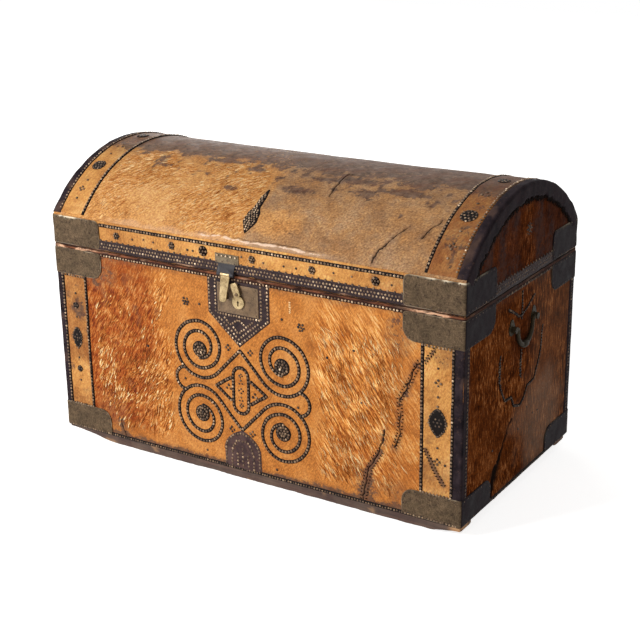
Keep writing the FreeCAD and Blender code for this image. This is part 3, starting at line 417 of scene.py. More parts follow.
def nail_seats(face, places, lift, radius, loose=0.35):
    """Place, tilt and size of a nail head at each place on a face."""
    places = np.array(places, float).reshape(-1, 2)
    places = places + dice.normal(0, loose, places.shape)
    u, v = places[:, 0], places[:, 1]
    base = face(u, v, lift)
    side = face(u + 1, v, lift) - base
    up = face(u, v + 1, lift) - base
    out = unit(unit(np.cross(side, up)) + dice.normal(0, 0.07, base.shape))
    side = unit(np.cross(out, np.cross(side, out)))
    spin = dice.uniform(0, math.tau, len(u))[:, None]
    first = side * np.cos(spin) + np.cross(out, side) * np.sin(spin)
    second = np.cross(out, first)
    scale = radius * mm * dice.normal(1, 0.06, len(u))[:, None]
    seats = np.zeros((len(u), 4, 4))
    seats[:, :3, 0], seats[:, :3, 1], seats[:, :3, 2] = first * scale, second * scale, out * scale
    seats[:, :3, 3] = base
    return seats


def drive_nails(name, body, groups, *nodes):
    """Nails in one piece; a group is a face, places, lift, head radius and how pale they are."""
    seats = np.concatenate([nail_seats(*group[:4]) for group in groups])
    pale = np.concatenate([np.full(len(group[1]), group[4]) for group in groups])
    tones = np.clip(dice.normal(pale, 0.13), 0, 1)
    size = len(nail_points)
    shaped = np.einsum("nij,kj->nki", seats[:, :3, :3], nail_points) + seats[:, None, :3, 3]
    piece = mesh_object(name, shaped, repeated(nail_faces, size, len(seats)))
    give_points(piece, "tone", "FLOAT", np.repeat(tones, size))
    smooth(piece, 60)
    seat(piece, nail_brass, body, "nail_brass", *nodes)
    print(name, len(seats), "nails")


# %% [markdown]
# The nail rows run on narrow strips of dark leather. Such a strip is a ribbon that follows a path
# over a face: five points across a soft crown and two under it, joined from station to station.
# It is made directly from its path, as the paths are spirals that no primitive follows.

# %% Ribbons of leather along a path
def ribbon(name, face, path, width, height, closed=False, wobble=0.3):
    """Crowned strip along a path on a face."""
    line = spaced(path, 2.5, closed)
    line = line + wobble * np.stack([cloud(*line.T, 16, seed) for seed in (51, 52)], axis=-1)
    ahead = np.roll(line, -1, axis=0) - np.roll(line, 1, axis=0)
    if not closed:
        ahead[0], ahead[-1] = line[1] - line[0], line[-1] - line[-2]
    aside = leftwards(unit(ahead))
    profile = ((-0.5, -1.2), (-0.5, 0.25), (-0.3, 0.9), (0.0, 1.0), (0.3, 0.9), (0.5, 0.25), (0.5, -1.2))
    rings = []
    for share, level in profile:
        spot = line + aside * share * width
        rings.append(face(spot[:, 0], spot[:, 1], height * level))
    across, count = len(profile), len(line)
    last = count if closed else count - 1
    quads = []
    for k in range(last):
        here, there = k * across, (k + 1) % count * across
        for j in range(across):
            quads.append([here + j, here + (j + 1) % across, there + (j + 1) % across, there + j])
    if not closed:
        quads.append(list(range(across)))
        quads.append([(count - 1) * across + j for j in reversed(range(across))])
    return mesh_object(name, np.stack(rings, axis=1), [quad[::-1] for quad in quads])


def joined(name, parts):
    """Several pieces made one."""
    start_clean()
    for part in parts:
        part.select_set(True)
    bpy.context.view_layer.objects.active = parts[0]
    bpy.ops.object.join()
    parts[0].name = name
    return parts[0]


def leather_group(name, parts, finish, body, *nodes):
    """Small pieces of leather made one, smoothed and seated."""
    piece = joined(name, parts)
    smooth(piece, 50)
    seat(piece, finish, body, "dark_leather", *nodes)
    print(name, len(piece.data.polygons), "faces")


# %% [markdown]
# Every finish is a small tree of nodes. Writing trees out in full hides the idea behind the
# plumbing, so a recipe keeps the tree and offers the few steps that all finishes share: noise,
# colour ramps, mixing and bump. Colours are written as they look on a screen, from 0 to 255.

# %% A recipe for finishes
def tint(colour):
    """Linear colour for the nodes; one that already has its fourth number is left as it is."""
    if len(colour) == 4:
        return colour
    shares = [channel / 255 for channel in colour]
    linear = [s / 12.92 if s < 0.04 else ((s + 0.055) / 1.055) ** 2.4 for s in shares]
    return (*linear, 1.0)


class Recipe:
    """The node tree of one finish, or of the sky."""

    def __init__(self, name, kind="materials"):
        self.owner = getattr(bpy.data, kind).new(name)
        self.owner.use_nodes = True
        self.tree = self.owner.node_tree
        self.shader = self.tree.nodes.get("Principled BSDF")

    def plug(self, socket, value):
        if isinstance(value, bpy.types.NodeSocket):
            self.tree.links.new(value, socket)
        else:
            socket.default_value = value

    def node(self, kind, inputs, **settings):
        made = self.tree.nodes.new("ShaderNode" + kind)
        for setting, value in settings.items():
            setattr(made, setting, value)
        for socket, value in inputs.items():
            self.plug(made.inputs[socket], value)
        return made

    def place(self):
        return self.node("TexCoord", {}).outputs["Object"]

    def attribute(self, name, output="Fac"):
        return self.node("Attribute", {}, attribute_name=name).outputs[output]

    def turned(self, place, angle, scale):
        """Coordinates whose first axis runs at an angle in their plane, then scaled."""
        turn = self.node("Mapping", {"Vector": place, "Rotation": (0, 0, math.radians(-angle))})
        return self.node("Mapping", {"Vector": turn.outputs["Vector"], "Scale": scale}).outputs["Vector"]

    def noise(self, place, scale, detail=4.0, rough=0.55, warp=0.0):
        inputs = {"Vector": place, "Scale": scale, "Detail": detail, "Roughness": rough, "Distortion": warp}
        return self.node("TexNoise", inputs).outputs["Fac"]

    def spots(self, place, scale):
        return self.node("TexVoronoi", {"Vector": place, "Scale": scale}).outputs["Distance"]

    def drifted(self, place, scale, reach):
        """Coordinates that are pushed about by a coarse noise."""
        drift = self.node("TexNoise", {"Vector": place, "Scale": scale, "Detail": 2.0}).outputs["Color"]
        return self.node("VectorMath", {0: drift, 1: reach, 2: place}, operation="MULTIPLY_ADD").outputs[0]

    def zones(self):
        """The painted masks: long hair, tone and wear."""
        return self.node("SeparateColor", {0: self.attribute("zones", "Color")}).outputs

    def maths(self, work, a, b=0.0):
        return self.node("Math", {0: a, 1: b}, operation=work).outputs[0]

    def plus(self, a, b):
        return self.maths("ADD", a, b)

    def times(self, a, b):
        return self.maths("MULTIPLY", a, b)

    def between(self, value, low, high, first=0.0, last=1.0):
        inputs = {"Value": value, "From Min": low, "From Max": high, "To Min": first, "To Max": last}
        return self.node("MapRange", inputs).outputs[0]

    def mix(self, share, a, b, blend="MIX"):
        a, b = (tint(colour) if isinstance(colour, tuple) else colour for colour in (a, b))
        return self.node("Mix", {0: share, 6: a, 7: b}, data_type="RGBA", blend_type=blend).outputs[2]

    def ramp(self, share, *stops):
        made = self.node("ValToRGB", {0: share})
        elements = made.color_ramp.elements
        while len(elements) < len(stops):
            elements.new(0.5)
        for element, (position, colour) in zip(elements, stops):
            element.position, element.color = position, tint(colour)
        return made.outputs["Color"]

    def bump(self, height, depth, strength, under=None):
        inputs = {"Height": height, "Distance": depth * mm, "Strength": strength}
        if under is not None:
            inputs["Normal"] = under
        return self.node("Bump", inputs).outputs["Normal"]

    def torn(self, mask, place, scale=230):
        """A painted mask with a finely ragged edge; its faint parts stay soft."""
        fray = self.between(self.noise(place, scale, 6, 0.75), 0.3, 0.7, -0.45, 0.45)
        sharp = self.between(self.plus(mask, fray), 0.5, 0.62, 0.0, 0.7)
        return self.plus(sharp, self.maths("MINIMUM", mask, 0.3))

    def done(self, colour, rough, metal=0.0, normal=None, specular=0.5, sheen=0.0):
        self.plug(self.shader.inputs["Base Color"], colour)
        self.plug(self.shader.inputs["Roughness"], rough)
        self.plug(self.shader.inputs["Metallic"], metal)
        self.shader.inputs["Specular IOR Level"].default_value = specular
        self.shader.inputs["Sheen Weight"].default_value = sheen
        if normal is not None:
            self.plug(self.shader.inputs["Normal"], normal)
        return self.owner


# %% [markdown]
# Hair-on hide is the chest's main surface. Where the hair is long it lies in streaks: thin pale
# tips over a darker coat, all leaning one way. Where it has worn short the skin shows as a
# mottled, almost smooth leather. Both looks are made from the sheet's own coordinates and mixed
# by the painted masks: long hair, dark tone, grime, and cracks, which are near black and sunk in.
# On the dome the crack mask also paints the shadow of a raised lip, and the pale bare skin there is
# brightened as a painted highlight.
# The streaks are noise that is stretched along the lie of the hair, which differs from left to
# right on the front, so there are two sets with a ragged change between them.

# %% Hair-on hide
def hide_finish(name, ground, fur, grime, lean_left, lean_right, dark, shine=0.12, curl=0.009, deep=1.4,
                long=85, grain=0.45):
    recipe = Recipe(name)
    lay = recipe.attribute("lay", "Vector")
    hair, tone, wear = recipe.zones()
    crack = recipe.attribute("zones", "Alpha")

    across = recipe.node("SeparateXYZ", {0: lay}).outputs[0]
    ragged = recipe.plus(across, recipe.between(recipe.noise(lay, 9), 0, 1, -0.12, 0.12))
    side = recipe.between(ragged, -0.03, 0.03)
    curled = recipe.drifted(lay, 42.0, (curl, curl, 0))
    streaks = []
    for lean, length in ((lean_left, long), (lean_right, 0.6 * long)):
        fine = recipe.noise(recipe.turned(curled, lean, (length, 680, 1)), 1.0, 2, 0.6)
        tuft = recipe.noise(recipe.turned(curled, lean + 5, (0.55 * length, 280, 1)), 1.0, 2, 0.55, 0.2)
        streaks.append(recipe.plus(recipe.times(fine, 0.5), recipe.times(tuft, 0.5)))
    streak = recipe.node("Mix", {0: side, 2: streaks[0], 3: streaks[1]}, data_type="FLOAT").outputs[0]
    clumps = recipe.noise(lay, 20, 4, 0.6, 0.4)
    streak = recipe.plus(streak, recipe.between(clumps, 0.3, 0.7, -0.06, 0.06))
    coat = recipe.ramp(streak, *fur)

    skin = recipe.ramp(recipe.noise(lay, 13, 7, 0.65, 0.6), *ground)
    pores = recipe.noise(lay, 900, 2, 0.5)
    short = recipe.noise(recipe.turned(curled, lean_left, (110, 420, 1)), 1.0, 3, 0.6, 0.2)
    nap = recipe.ramp(short, (0.3, (0.28, 0.28, 0.28, 1)), (0.7, (0.74, 0.74, 0.74, 1)))
    skin = recipe.mix(0.7, skin, nap, "OVERLAY")
    colour = recipe.mix(hair, skin, coat)
    darker = recipe.mix(1.0, colour, dark, "MULTIPLY")
    blotch = recipe.noise(lay, 45, 5, 0.65, 0.5)
    colour = recipe.mix(recipe.times(tone, recipe.between(blotch, 0.3, 0.6, 0.55, 1.0)), colour, darker)
    speckle = recipe.ramp(recipe.noise(lay, 240, 4, 0.75),
                          (0.38, (0.24, 0.22, 0.24, 1)), (0.62, (0.76, 0.76, 0.74, 1)))
    colour = recipe.mix(grain, colour, speckle, "OVERLAY")
    dirt = recipe.ramp(recipe.noise(lay, 70, 6, 0.75), (0.36, grime[0]), (0.64, grime[1]))
    smears = recipe.noise(recipe.turned(lay, lean_left, (18, 46, 1)), 1.0, 5, 0.7)
    dirt = recipe.mix(recipe.between(smears, 0.44, 0.62, 0.0, 0.6), dirt, (104, 62, 44))
    worn = recipe.times(recipe.torn(wear, lay, 130),
                        recipe.between(recipe.noise(lay, 150, 4, 0.7), 0.25, 0.6, 0.7, 1.0))
    colour = recipe.mix(worn, colour, dirt)
    colour = recipe.mix(recipe.between(pores, 0.36, 0.2, 0.0, 0.35), colour, (90, 50, 25))
    # Bare skin is pale flesh, real wear; its near-white end also serves as a painted highlight on the dome's
    # raised lip.
    flesh = recipe.mix(recipe.noise(lay, 140, 4, 0.7), (255, 238, 212), (208, 150, 114))
    colour = recipe.mix(recipe.torn(recipe.attribute("bare"), lay), colour, flesh)
    # The crack mask is near black: real cracks, and on the dome a painted shadow above the raised lip.
    colour = recipe.mix(crack, colour, (30, 19, 14))

    relief = recipe.times(streak, recipe.between(hair, 0, 1, 0.25, 1.0))
    normal = recipe.bump(relief, deep, 0.8)
    normal = recipe.bump(pores, 0.25, 0.4, normal)
    rough = recipe.between(recipe.noise(lay, 30, 4), 0.3, 0.7, 0.56, 0.76)
    return recipe.done(colour, rough, 0.0, normal, shine, 0.02)


front_hide = hide_finish(
    "golden_hide",
    ((0.28, (148, 84, 34)), (0.50, (192, 122, 56)), (0.74, (214, 150, 84))),
    ((0.40, (136, 68, 20)), (0.49, (202, 122, 50)), (0.56, (236, 166, 88)), (0.63, (255, 218, 150))),
    ((70, 52, 42), (120, 90, 70)), 58, -58, (186, 138, 104))
dome_hide = hide_finish(
    "dome_hide",
    ((0.28, (162, 104, 52)), (0.50, (200, 144, 84)), (0.74, (218, 168, 110))),
    ((0.38, (158, 98, 42)), (0.48, (194, 134, 72)), (0.57, (214, 158, 94)), (0.66, (246, 206, 148))),
    ((54, 38, 32), (132, 106, 88)), 40, 30, (202, 214, 254), curl=0.004, deep=0.9, long=120, grain=0.7)
# The end hide's colours are red-brown, set darker still as painted shade, for the ends stand in shade.
end_hide = hide_finish(
    "end_hide",
    ((0.32, (64, 26, 6)), (0.52, (114, 56, 17)), (0.70, (158, 90, 42))),
    ((0.41, (52, 18, 0)), (0.49, (100, 45, 8)), (0.555, (148, 78, 28)), (0.61, (206, 136, 82))),
    ((46, 30, 29), (92, 66, 60)), 84, 87, (170, 150, 190), shine=0.0, curl=0.005, deep=1.0, grain=0.75)
strip_hide = hide_finish(
    "tan_strip",
    ((0.28, (172, 110, 52)), (0.52, (216, 156, 86)), (0.76, (236, 188, 122))),
    ((0.40, (136, 80, 36)), (0.49, (182, 120, 58)), (0.57, (214, 156, 90)), (0.64, (236, 192, 132))),
    ((66, 46, 38), (116, 88, 68)), 70, 64, (176, 152, 150))

# %% [markdown]
# The trim is plain leather, almost black with age, with a fine grain, and rubbed brown or
# pinkish where hands and the lid's edge wear it. Its wear mask is painted like the hides', but
# pieces with no mask simply have none, because a missing attribute reads as zero.

# %% Dark leather
def leather_finish(name, deep, high, rubbed, grain=420, shine=0.1):
    recipe = Recipe(name)
    place = recipe.place()
    body = recipe.noise(place, 34, 6, 0.65, 0.4)
    colour = recipe.ramp(body, (0.30, deep), (0.72, high))
    flecks = recipe.between(recipe.noise(place, 190, 5, 0.75), 0.56, 0.68, 0.0, 0.5)
    colour = recipe.mix(flecks, colour, rubbed)
    edge = recipe.between(recipe.noise(place, 120, 4, 0.7), 0.2, 0.55, 0.4, 1.0)
    colour = recipe.mix(recipe.times(recipe.zones()[2], edge), colour, rubbed)
    flesh = recipe.mix(recipe.noise(place, 120, 4, 0.7), (244, 206, 170), (176, 108, 74))
    colour = recipe.mix(recipe.torn(recipe.attribute("bare"), place), colour, flesh)
    # The crack mask is near black: real cracks, and along the rim's top and the lid band's foot a painted
    # shade in the gap between lid and box.
    colour = recipe.mix(recipe.attribute("zones", "Alpha"), colour, (18, 12, 10))
    normal = recipe.bump(recipe.spots(place, grain), 0.25, 0.5)
    normal = recipe.bump(recipe.noise(place, 75, 4, 0.6, 0.5), 0.9, 0.5, normal)
    rough = recipe.between(body, 0.3, 0.7, 0.5, 0.75)
    return recipe.done(colour, rough, 0.0, normal, shine)


dark_leather = leather_finish("dark_leather", (30, 24, 28), (68, 54, 54), (110, 78, 60))
rim_leather = leather_finish("rim_leather", (34, 23, 22), (66, 44, 38), (134, 82, 56), 260, 0.03)
foot_leather = leather_finish("foot_leather", (50, 38, 41), (102, 80, 76), (140, 96, 74), shine=0.04)
brown_leather = leather_finish("brown_leather", (92, 58, 44), (140, 94, 66), (160, 116, 80), shine=0.03)
black_leather = leather_finish("black_leather", (20, 16, 20), (60, 50, 54), (96, 74, 64), shine=0.02)

# %% [markdown]
# The fittings are brass, but of several sorts: the corner plates are dull olive brown with age,
# the lock plate is browner, and the hasp is rubbed bright by hands. One recipe makes them all from
# a dark and a light colour. Fine scratches and blotches of tarnish go into the colour, and the
# plates have faint rings, left by polishing, and a paler tone where their painted wear is; along
# the lid plates' top edge that paler tone is a painted highlight. A plate's leg on an end of the
# chest is painted darker and bluish: painted shade.

# %% Metals
def metal_finish(name, low, high, stain, rough, metal, rings=0.0, worn=None, grit=0.5, cold_below=None,
                 shine=0.3):
    recipe = Recipe(name)
    place = recipe.place()
    blotch = recipe.noise(place, 38, 6, 0.7, 0.5)
    colour = recipe.ramp(blotch, (0.32, low), (0.68, high))
    tarnish = recipe.between(recipe.noise(place, 160, 5, 0.8), 0.50, 0.66, 0.0, 0.85)
    colour = recipe.mix(tarnish, colour, stain)
    scratch = recipe.noise(recipe.turned(place, 24, (900, 60, 400)), 1.0, 2, 0.6)
    light = tuple(min(255, channel * 1.35) for channel in high)
    colour = recipe.mix(recipe.between(scratch, 0.62, 0.72, 0.0, 0.5), colour, light)
    speckle = recipe.ramp(recipe.noise(place, 420, 3, 0.7),
                          (0.32, (0.3, 0.3, 0.27, 1)), (0.68, (0.72, 0.68, 0.66, 1)))
    colour = recipe.mix(grit, colour, speckle, "OVERLAY")
    normal = recipe.bump(recipe.noise(place, 210, 3, 0.6), 0.25, 0.35)
    if cold_below:
        height = recipe.node("SeparateXYZ", {0: place}).outputs[2]
        low_part = recipe.between(height, cold_below, cold_below + 0.002, 1.0, 0.0)
        colour = recipe.mix(low_part, colour, recipe.mix(blotch, (24, 23, 26), (54, 50, 52)))
    if rings:
        loose = recipe.drifted(place, 30.0, (0.012, 0.012, 0.012))
        wave = recipe.maths("SINE", recipe.times(recipe.spots(loose, 21), 56.0))
        colour = recipe.mix(recipe.between(wave, 0.2, 1.0, 0.0, rings), colour, light)
    # On the corner plates the tone mask marks the leg on an end of the chest; multiplying by a dark blue-grey
    # paints it darker and bluish, a painted shade. The worn colour is real rubbing at the edges, and along
    # the lid plates' top edge a painted highlight.
    if worn:
        zones = recipe.zones()
        painted_cold_shade = recipe.mix(1.0, colour, (92, 91, 128), "MULTIPLY")
        colour = recipe.mix(zones[1], colour, painted_cold_shade)
        colour = recipe.mix(zones[2], colour, worn)
    gloss = recipe.between(blotch, 0.3, 0.7, rough - 0.08, rough + 0.14)
    return recipe.done(colour, gloss, metal, normal, shine)


def nail_finish():
    """Round heads: each has a tone of its own, from brown black to rubbed pale brass."""
    recipe = Recipe("nail_brass")
    place = recipe.place()
    mottle = recipe.between(recipe.noise(place, 400, 3), 0.3, 0.7, -0.12, 0.12)
    share = recipe.plus(recipe.attribute("tone"), mottle)
    colour = recipe.ramp(share, (0.05, (50, 40, 36)), (0.35, (104, 82, 64)), (0.62, (160, 132, 104)),
                         (0.95, (232, 206, 174)))
    normal = recipe.bump(recipe.noise(place, 500, 2), 0.2, 0.4)
    rough, metal = recipe.between(share, 0, 1, 0.55, 0.3), recipe.between(share, 0.2, 0.9, 0.0, 0.5)
    return recipe.done(colour, rough, metal, normal, 0.2)


plate_brass = metal_finish("plate_brass", (70, 59, 46), (112, 94, 74), (52, 40, 36), 0.6, 0.06,
                           rings=0.1, worn=(222, 206, 178), grit=0.8, shine=0.05)
lock_brass = metal_finish("lock_brass", (88, 70, 52), (128, 104, 78), (70, 54, 44), 0.45, 0.3,
                          rings=0.05, grit=0.3)
hasp_brass = metal_finish("hasp_brass", (128, 106, 70), (206, 182, 138), (96, 76, 50), 0.34, 0.6, grit=0.2)
handle_brass = metal_finish("handle_brass", (30, 26, 22), (74, 64, 46), (20, 17, 18), 0.5, 0.15, shine=0.08)
hasp_plate_brass = metal_finish("hasp_plate_brass", (92, 80, 60), (126, 110, 86), (70, 56, 46), 0.5, 0.2,
                                cold_below=0.4295)
lock_iron = metal_finish("lock_iron", (38, 34, 34), (80, 72, 66), (66, 44, 34), 0.6, 0.2, shine=0.15)
nail_brass = nail_finish()

# %% [markdown]
# The wood shows inside, on the bottom and on the runners. Its grain is noise that is stretched
# along the board, with a second, finer set over it. The front runner is dark brown with handling
# and floor dirt, with raw pale wood at its splintered end. The rear one is almost black.

# %% Wood
def wood_finish(name, dark, pale, stretch, raw=None):
    recipe = Recipe(name)
    place = recipe.place()
    grain = recipe.noise(recipe.turned(place, 0, stretch), 1.0, 6, 0.62, 0.8)
    fine = recipe.noise(recipe.turned(place, 0, tuple(4 * s for s in stretch)), 1.0, 3, 0.6)
    share = recipe.plus(recipe.times(grain, 0.7), recipe.times(fine, 0.3))
    colour = recipe.ramp(share, (0.34, dark), (0.64, pale))
    dust = recipe.between(recipe.noise(place, 20, 5, 0.6), 0.4, 0.75, 0.0, 0.3)
    colour = recipe.mix(dust, colour, (150, 132, 112))
    if raw:
        colour = recipe.mix(recipe.zones()[2], colour, recipe.mix(fine, raw, (150, 104, 70)))
    normal = recipe.bump(share, 0.8, 0.6)
    return recipe.done(colour, recipe.between(grain, 0.3, 0.7, 0.62, 0.85), 0.0, normal, 0.3)


long_wood = wood_finish("long_board_wood", (110, 72, 42), (178, 130, 84), (4, 70, 90))
cross_wood = wood_finish("cross_board_wood", (104, 68, 40), (172, 124, 80), (70, 4, 90))
runner_wood = wood_finish("runner_wood", (50, 36, 33), (100, 76, 66), (5, 90, 90), raw=(214, 170, 124))
black_wood = wood_finish("black_wood", (26, 20, 20), (62, 48, 44), (5, 90, 90), raw=(56, 42, 36))
print(len(bpy.data.materials), "finishes so far")

# %% [markdown]
# The chest is looked at from its right front corner, a little from above. The camera's place was
# worked out from the box's own edges, so it stays fixed while the pieces are made. The light is a
# large soft lamp from the front left, a weaker fill and an even grey sky, which leaves the right
# end in shade. What the camera and reflections see behind the chest is plain white.

# %% Camera, lamps and floor
scene = bpy.context.scene
scene.view_settings.view_transform = "Standard"

azimuth, elevation, roll = map(math.radians, (32.35884, 19.34284, -0.765284))
back = Vector((math.sin(azimuth) * math.cos(elevation), -math.cos(azimuth) * math.cos(elevation),
               math.sin(elevation)))
level = Vector((math.cos(azimuth), math.sin(azimuth), 0))
above = back.cross(level)
right_way = math.cos(roll) * level + math.sin(roll) * above
up_way = math.cos(roll) * above - math.sin(roll) * level
turn = Matrix((right_way, up_way, back)).transposed().to_4x4()
lens = bpy.data.cameras.new("camera")
lens.lens, lens.sensor_width, lens.clip_end = 76.54, 36.0, 50
camera = bpy.data.objects.new("camera", lens)
camera.matrix_world = Matrix.Translation((1.378762, -2.149736, 1.150965)) @ turn
scene.collection.objects.link(camera)
scene.camera = camera


def lamp(name, place, aim, power, size, colour=(1, 1, 1)):
    light = bpy.data.lights.new(name, "AREA")
    light.energy, light.size, light.color = power, size, colour
    holder = bpy.data.objects.new(name, light)
    holder.location = place
    holder.rotation_euler = (Vector(aim) - Vector(place)).to_track_quat("-Z", "Y").to_euler()
    scene.collection.objects.link(holder)


lamp("key_lamp", (-2.3, -3.5, 2.2), (0, 0, 0.25), 185, 1.3)
lamp("fill_lamp", (2.6, -2.4, 1.2), (0.1, 0, 0.3), 8, 2.2)
lamp("back_lamp", (-2.8, 3.4, 1.2), (0, 0, 0.3), 45, 1.6)


def seen_or_mirrored(recipe):
    """1 for what the camera sees, directly or in something shiny, 0 for what only lights."""
    rays = recipe.node("LightPath", {}).outputs
    mirrored = recipe.maths("MAXIMUM", rays["Is Transmission Ray"], rays["Is Glossy Ray"])
    return recipe.maths("MAXIMUM", rays["Is Camera Ray"], mirrored)


white = (1, 1, 1, 1)
sky = Recipe("studio", "worlds")
scene.world = sky.owner
even, bright = (sky.node("Background", {"Color": white, "Strength": power}) for power in (0.28, 1.0))
choice = sky.node("MixShader", {0: seen_or_mirrored(sky), 1: even.outputs[0], 2: bright.outputs[0]})
sky.plug(sky.tree.nodes["World Output"].inputs["Surface"], choice.outputs[0])

start_clean()
bpy.ops.mesh.primitive_plane_add(size=14, location=(0, 0, -0.0005))
floor = bpy.context.object
floor.name = "studio_floor"
paper = Recipe("studio_paper")
paper.done(tint((226, 224, 221)), 0.9, 0.0, None, 0.1)
lit = paper.shader.outputs[0]
glow = paper.node("Emission", {"Color": white, "Strength": 0.8})
both = paper.node("AddShader", {0: lit, 1: glow.outputs[0]})
blend = paper.node("MixShader", {0: seen_or_mirrored(paper), 1: lit, 2: both.outputs[0]})
paper.plug(paper.tree.nodes["Material Output"].inputs["Surface"], blend.outputs[0])
floor.data.materials.append(paper.owner)
print("camera at", tuple(round(way, 3) for way in camera.location))

# %% [markdown]
# The hides come first. On the front, the ornament sits on skin that has lost its hair; to the left
# the coat is rust red with pale curls, to the right it is lighter and leans the other way. Old
# tears run through it; they are sunk into the mesh, with lips that curl up beside them. A tear is
# a path of a few points, bent further by noise.

# %% Hide on the front of the box
hide_thickness = 2.0
staple_slot = (340, 362)


def blot(u, v, centre, reach, seed):
    """Soft, ragged spot on a face, 1 inside and 0 outside."""
    far = np.hypot((u - centre[0]) / reach[0], (v - centre[1]) / reach[1])
    return step_up(far + 0.3 * cloud(u, v, 0.5 * min(reach), seed), 1.15, 0.55)


def tear(u, v, paths, seed, width):
    """Crack mask, the height of its torn, curled edges, and the distance from the paths."""
    bent_u = u + 3.4 * cloud(u, v, 12, seed, 3)
    bent_v = v + 2.6 * cloud(u, v, 12, seed + 1, 2)
    gap = np.min([near_path(bent_u, bent_v, path) for path in paths], axis=0)
    open_part = patches(u, v, 11, seed + 2, -0.85, -0.55, 2)
    crack = step_up(gap, 1.5 * width, 0.4 * width) * open_part
    lips = np.exp(-((gap - 3.4) / 1.7) ** 2) * (0.6 + 0.5 * cloud(u, v, 12, seed + 3, 1))
    return crack, 1.1 * lips * open_part - 1.7 * crack, gap


def hide(node, face, u_stops, v_stops, finish, body, slot, masks, seed, cracks=(),
         width=lambda v: 1.2, hole=None):
    """Hide on a face; masks is a function of the place and of the distance from a crack."""
    piece, u, v = sheet(node + "_skin", u_stops, v_stops, cracks, hole)
    crack, height, gap = tear(u, v, cracks, seed, width(v)) if cracks else (0 * u, 0 * u, 0 * u + 99)
    zones = masks(u, v, gap)
    crack = np.maximum(crack, zones.pop("crack", 0.0))
    rise = zones.pop("rise", 0.0)
    fur = 0.3 * zones["hair"] * cloud(u, v, 9, seed + 5, 2)
    move_points(piece, face(u, v, height + fur + rise))
    paint(piece, u, v, crack=crack, **zones)
    thicken(piece, hide_thickness)
    seat(piece, finish, body, slot, node)
    print(node, len(piece.data.polygons), "faces")


front_tears = (((366, 294), (347, 255), (328, 217), (331, 185), (328, 152), (319, 126)),
               ((299, 152), (291, 112), (269, 76), (260, 40), (255, 6)),
               ((-307, 38), (-302, 22), (-298, 9)))


def long_hair(u, v):
    """Where the front still has its long hair: left and right of the ornament."""
    left = step_up(-168 - u + 26 * cloud(u, v, 70, 21), -14, 26)
    right = step_up(u - 152 + 26 * cloud(u, v, 70, 22), -10, 34) * (1 - 0.55 * step_up(u, 285, 335))
    hair = np.maximum(left, right) * step_up(v + 14 * cloud(u, v, 50, 23), 12, 55)
    return hair * (1 - 0.45 * step_up(v, 300, 360))


def front_masks(u, v, gap):
    rust = 0.95 * step_up(-u + 40 * cloud(u, v, 90, 24), 165, 240) * step_up(v, 8, 50)
    dull = 0.14 * step_up(-u, 120, 200) + 0.22 * blot(u, v, (345, 240), (60, 110), 25)
    dull = dull + 0.35 * blot(u, v, (280, 70), (110, 60), 26)
    edges = 0.8 * step_up(v + 4 * cloud(u, v, 20, 27), 20, 8)
    edges = edges + 0.5 * step_up(v + 5 * cloud(u, v, 24, 28), 366, 382)
    stains = ((0.5, (-348, 345), (50, 40), 29), (0.3, (-325, 60), (50, 40), 30),
              (0.42, (326, 338), (34, 40), 34), (0.36, (322, 40), (34, 26), 35))
    corner = sum(share * blot(u, v, *stain) for share, *stain in stains)
    spots = 0.6 * patches(u, v, 26, 31, 0.72, 0.9, 2) * step_up(np.abs(u), 150, 200)
    beside = 0.5 * step_up(gap, 14, 3)
    sewn = near_path(u + 2 * cloud(u, v, 8, 37, 2), v, front_tears[1][1:])
    beside = np.maximum(beside, 0.85 * step_up(sewn, 7.0, 4.0))
    patch = 0.5 * blot(u, v, (262, 40), (26, 44), 36)
    return dict(hair=long_hair(u, v), tone=np.maximum(rust, dull),
                wear=edges + corner + 0.5 * spots + beside + patch)


hide("front_hide", front_face, steps(-half_length, half_length, 3.2), steps(0.4, body_top - 0.4, 3.2),
     front_hide, "chest_body", "front_hide", front_masks, 61, front_tears, hole=(-37, -25, *staple_slot))

# %% [markdown]
# Paint alone makes the long hair look combed into the skin. Real tufts stand a little proud, with
# pale tips over a dark root. A lock is a thin closed wedge that follows a slightly bent line over
# the hide. The same wedge, short, straight and dark, makes the stitches beside the tears.

# %% Locks of hair and stitches
def strands(name, on_face, starts, turns, bends, lengths, width, lift, tones):
    """Many thin wedges on a face; each starts at a place and runs along a bent line."""
    shares = np.array([0.0, 0.25, 0.5, 0.75])
    heading = np.radians(turns[:, None] + bends[:, None] * shares)
    ways = np.cumsum(circle(heading) * (lengths / 4)[:, None, None], axis=1)
    line = starts[:, None, :] + np.concatenate([np.zeros((len(starts), 1, 2)), ways], axis=1)
    aside = leftwards(circle(np.concatenate([heading, heading[:, -1:]], axis=1)))
    half = np.array([0.35, 0.9, 1.0, 0.75, 0.1])[None, :, None] * (width / 2)[:, None, None]
    height = lift * np.array([0.1, 0.7, 1.0, 0.9, 0.45])[None, :]
    rails = []
    for way, up in ((1, 0.0), (0, 0.5), (-1, 0.0)):
        spot = line + way * aside * half
        rails.append(on_face(spot[..., 0], spot[..., 1], height + up))
    pattern = []
    for here in (0, 3, 6, 9):
        pattern += [(here + a, here + b, here + b + 3, here + a + 3) for a, b in ((0, 1), (1, 2), (2, 0))]
    pattern += [(0, 2, 1), (12, 13, 14)]
    piece = mesh_object(name, np.stack(rails, axis=2), repeated(pattern, 15, len(starts)))
    shade = tones[:, None, None] * np.array([0.6, 0.85, 1.0, 1.1, 1.2])[None, :, None] * np.ones((1, 1, 3))
    give_points(piece, "tone", "FLOAT", shade)
    smooth(piece, 70)
    return piece


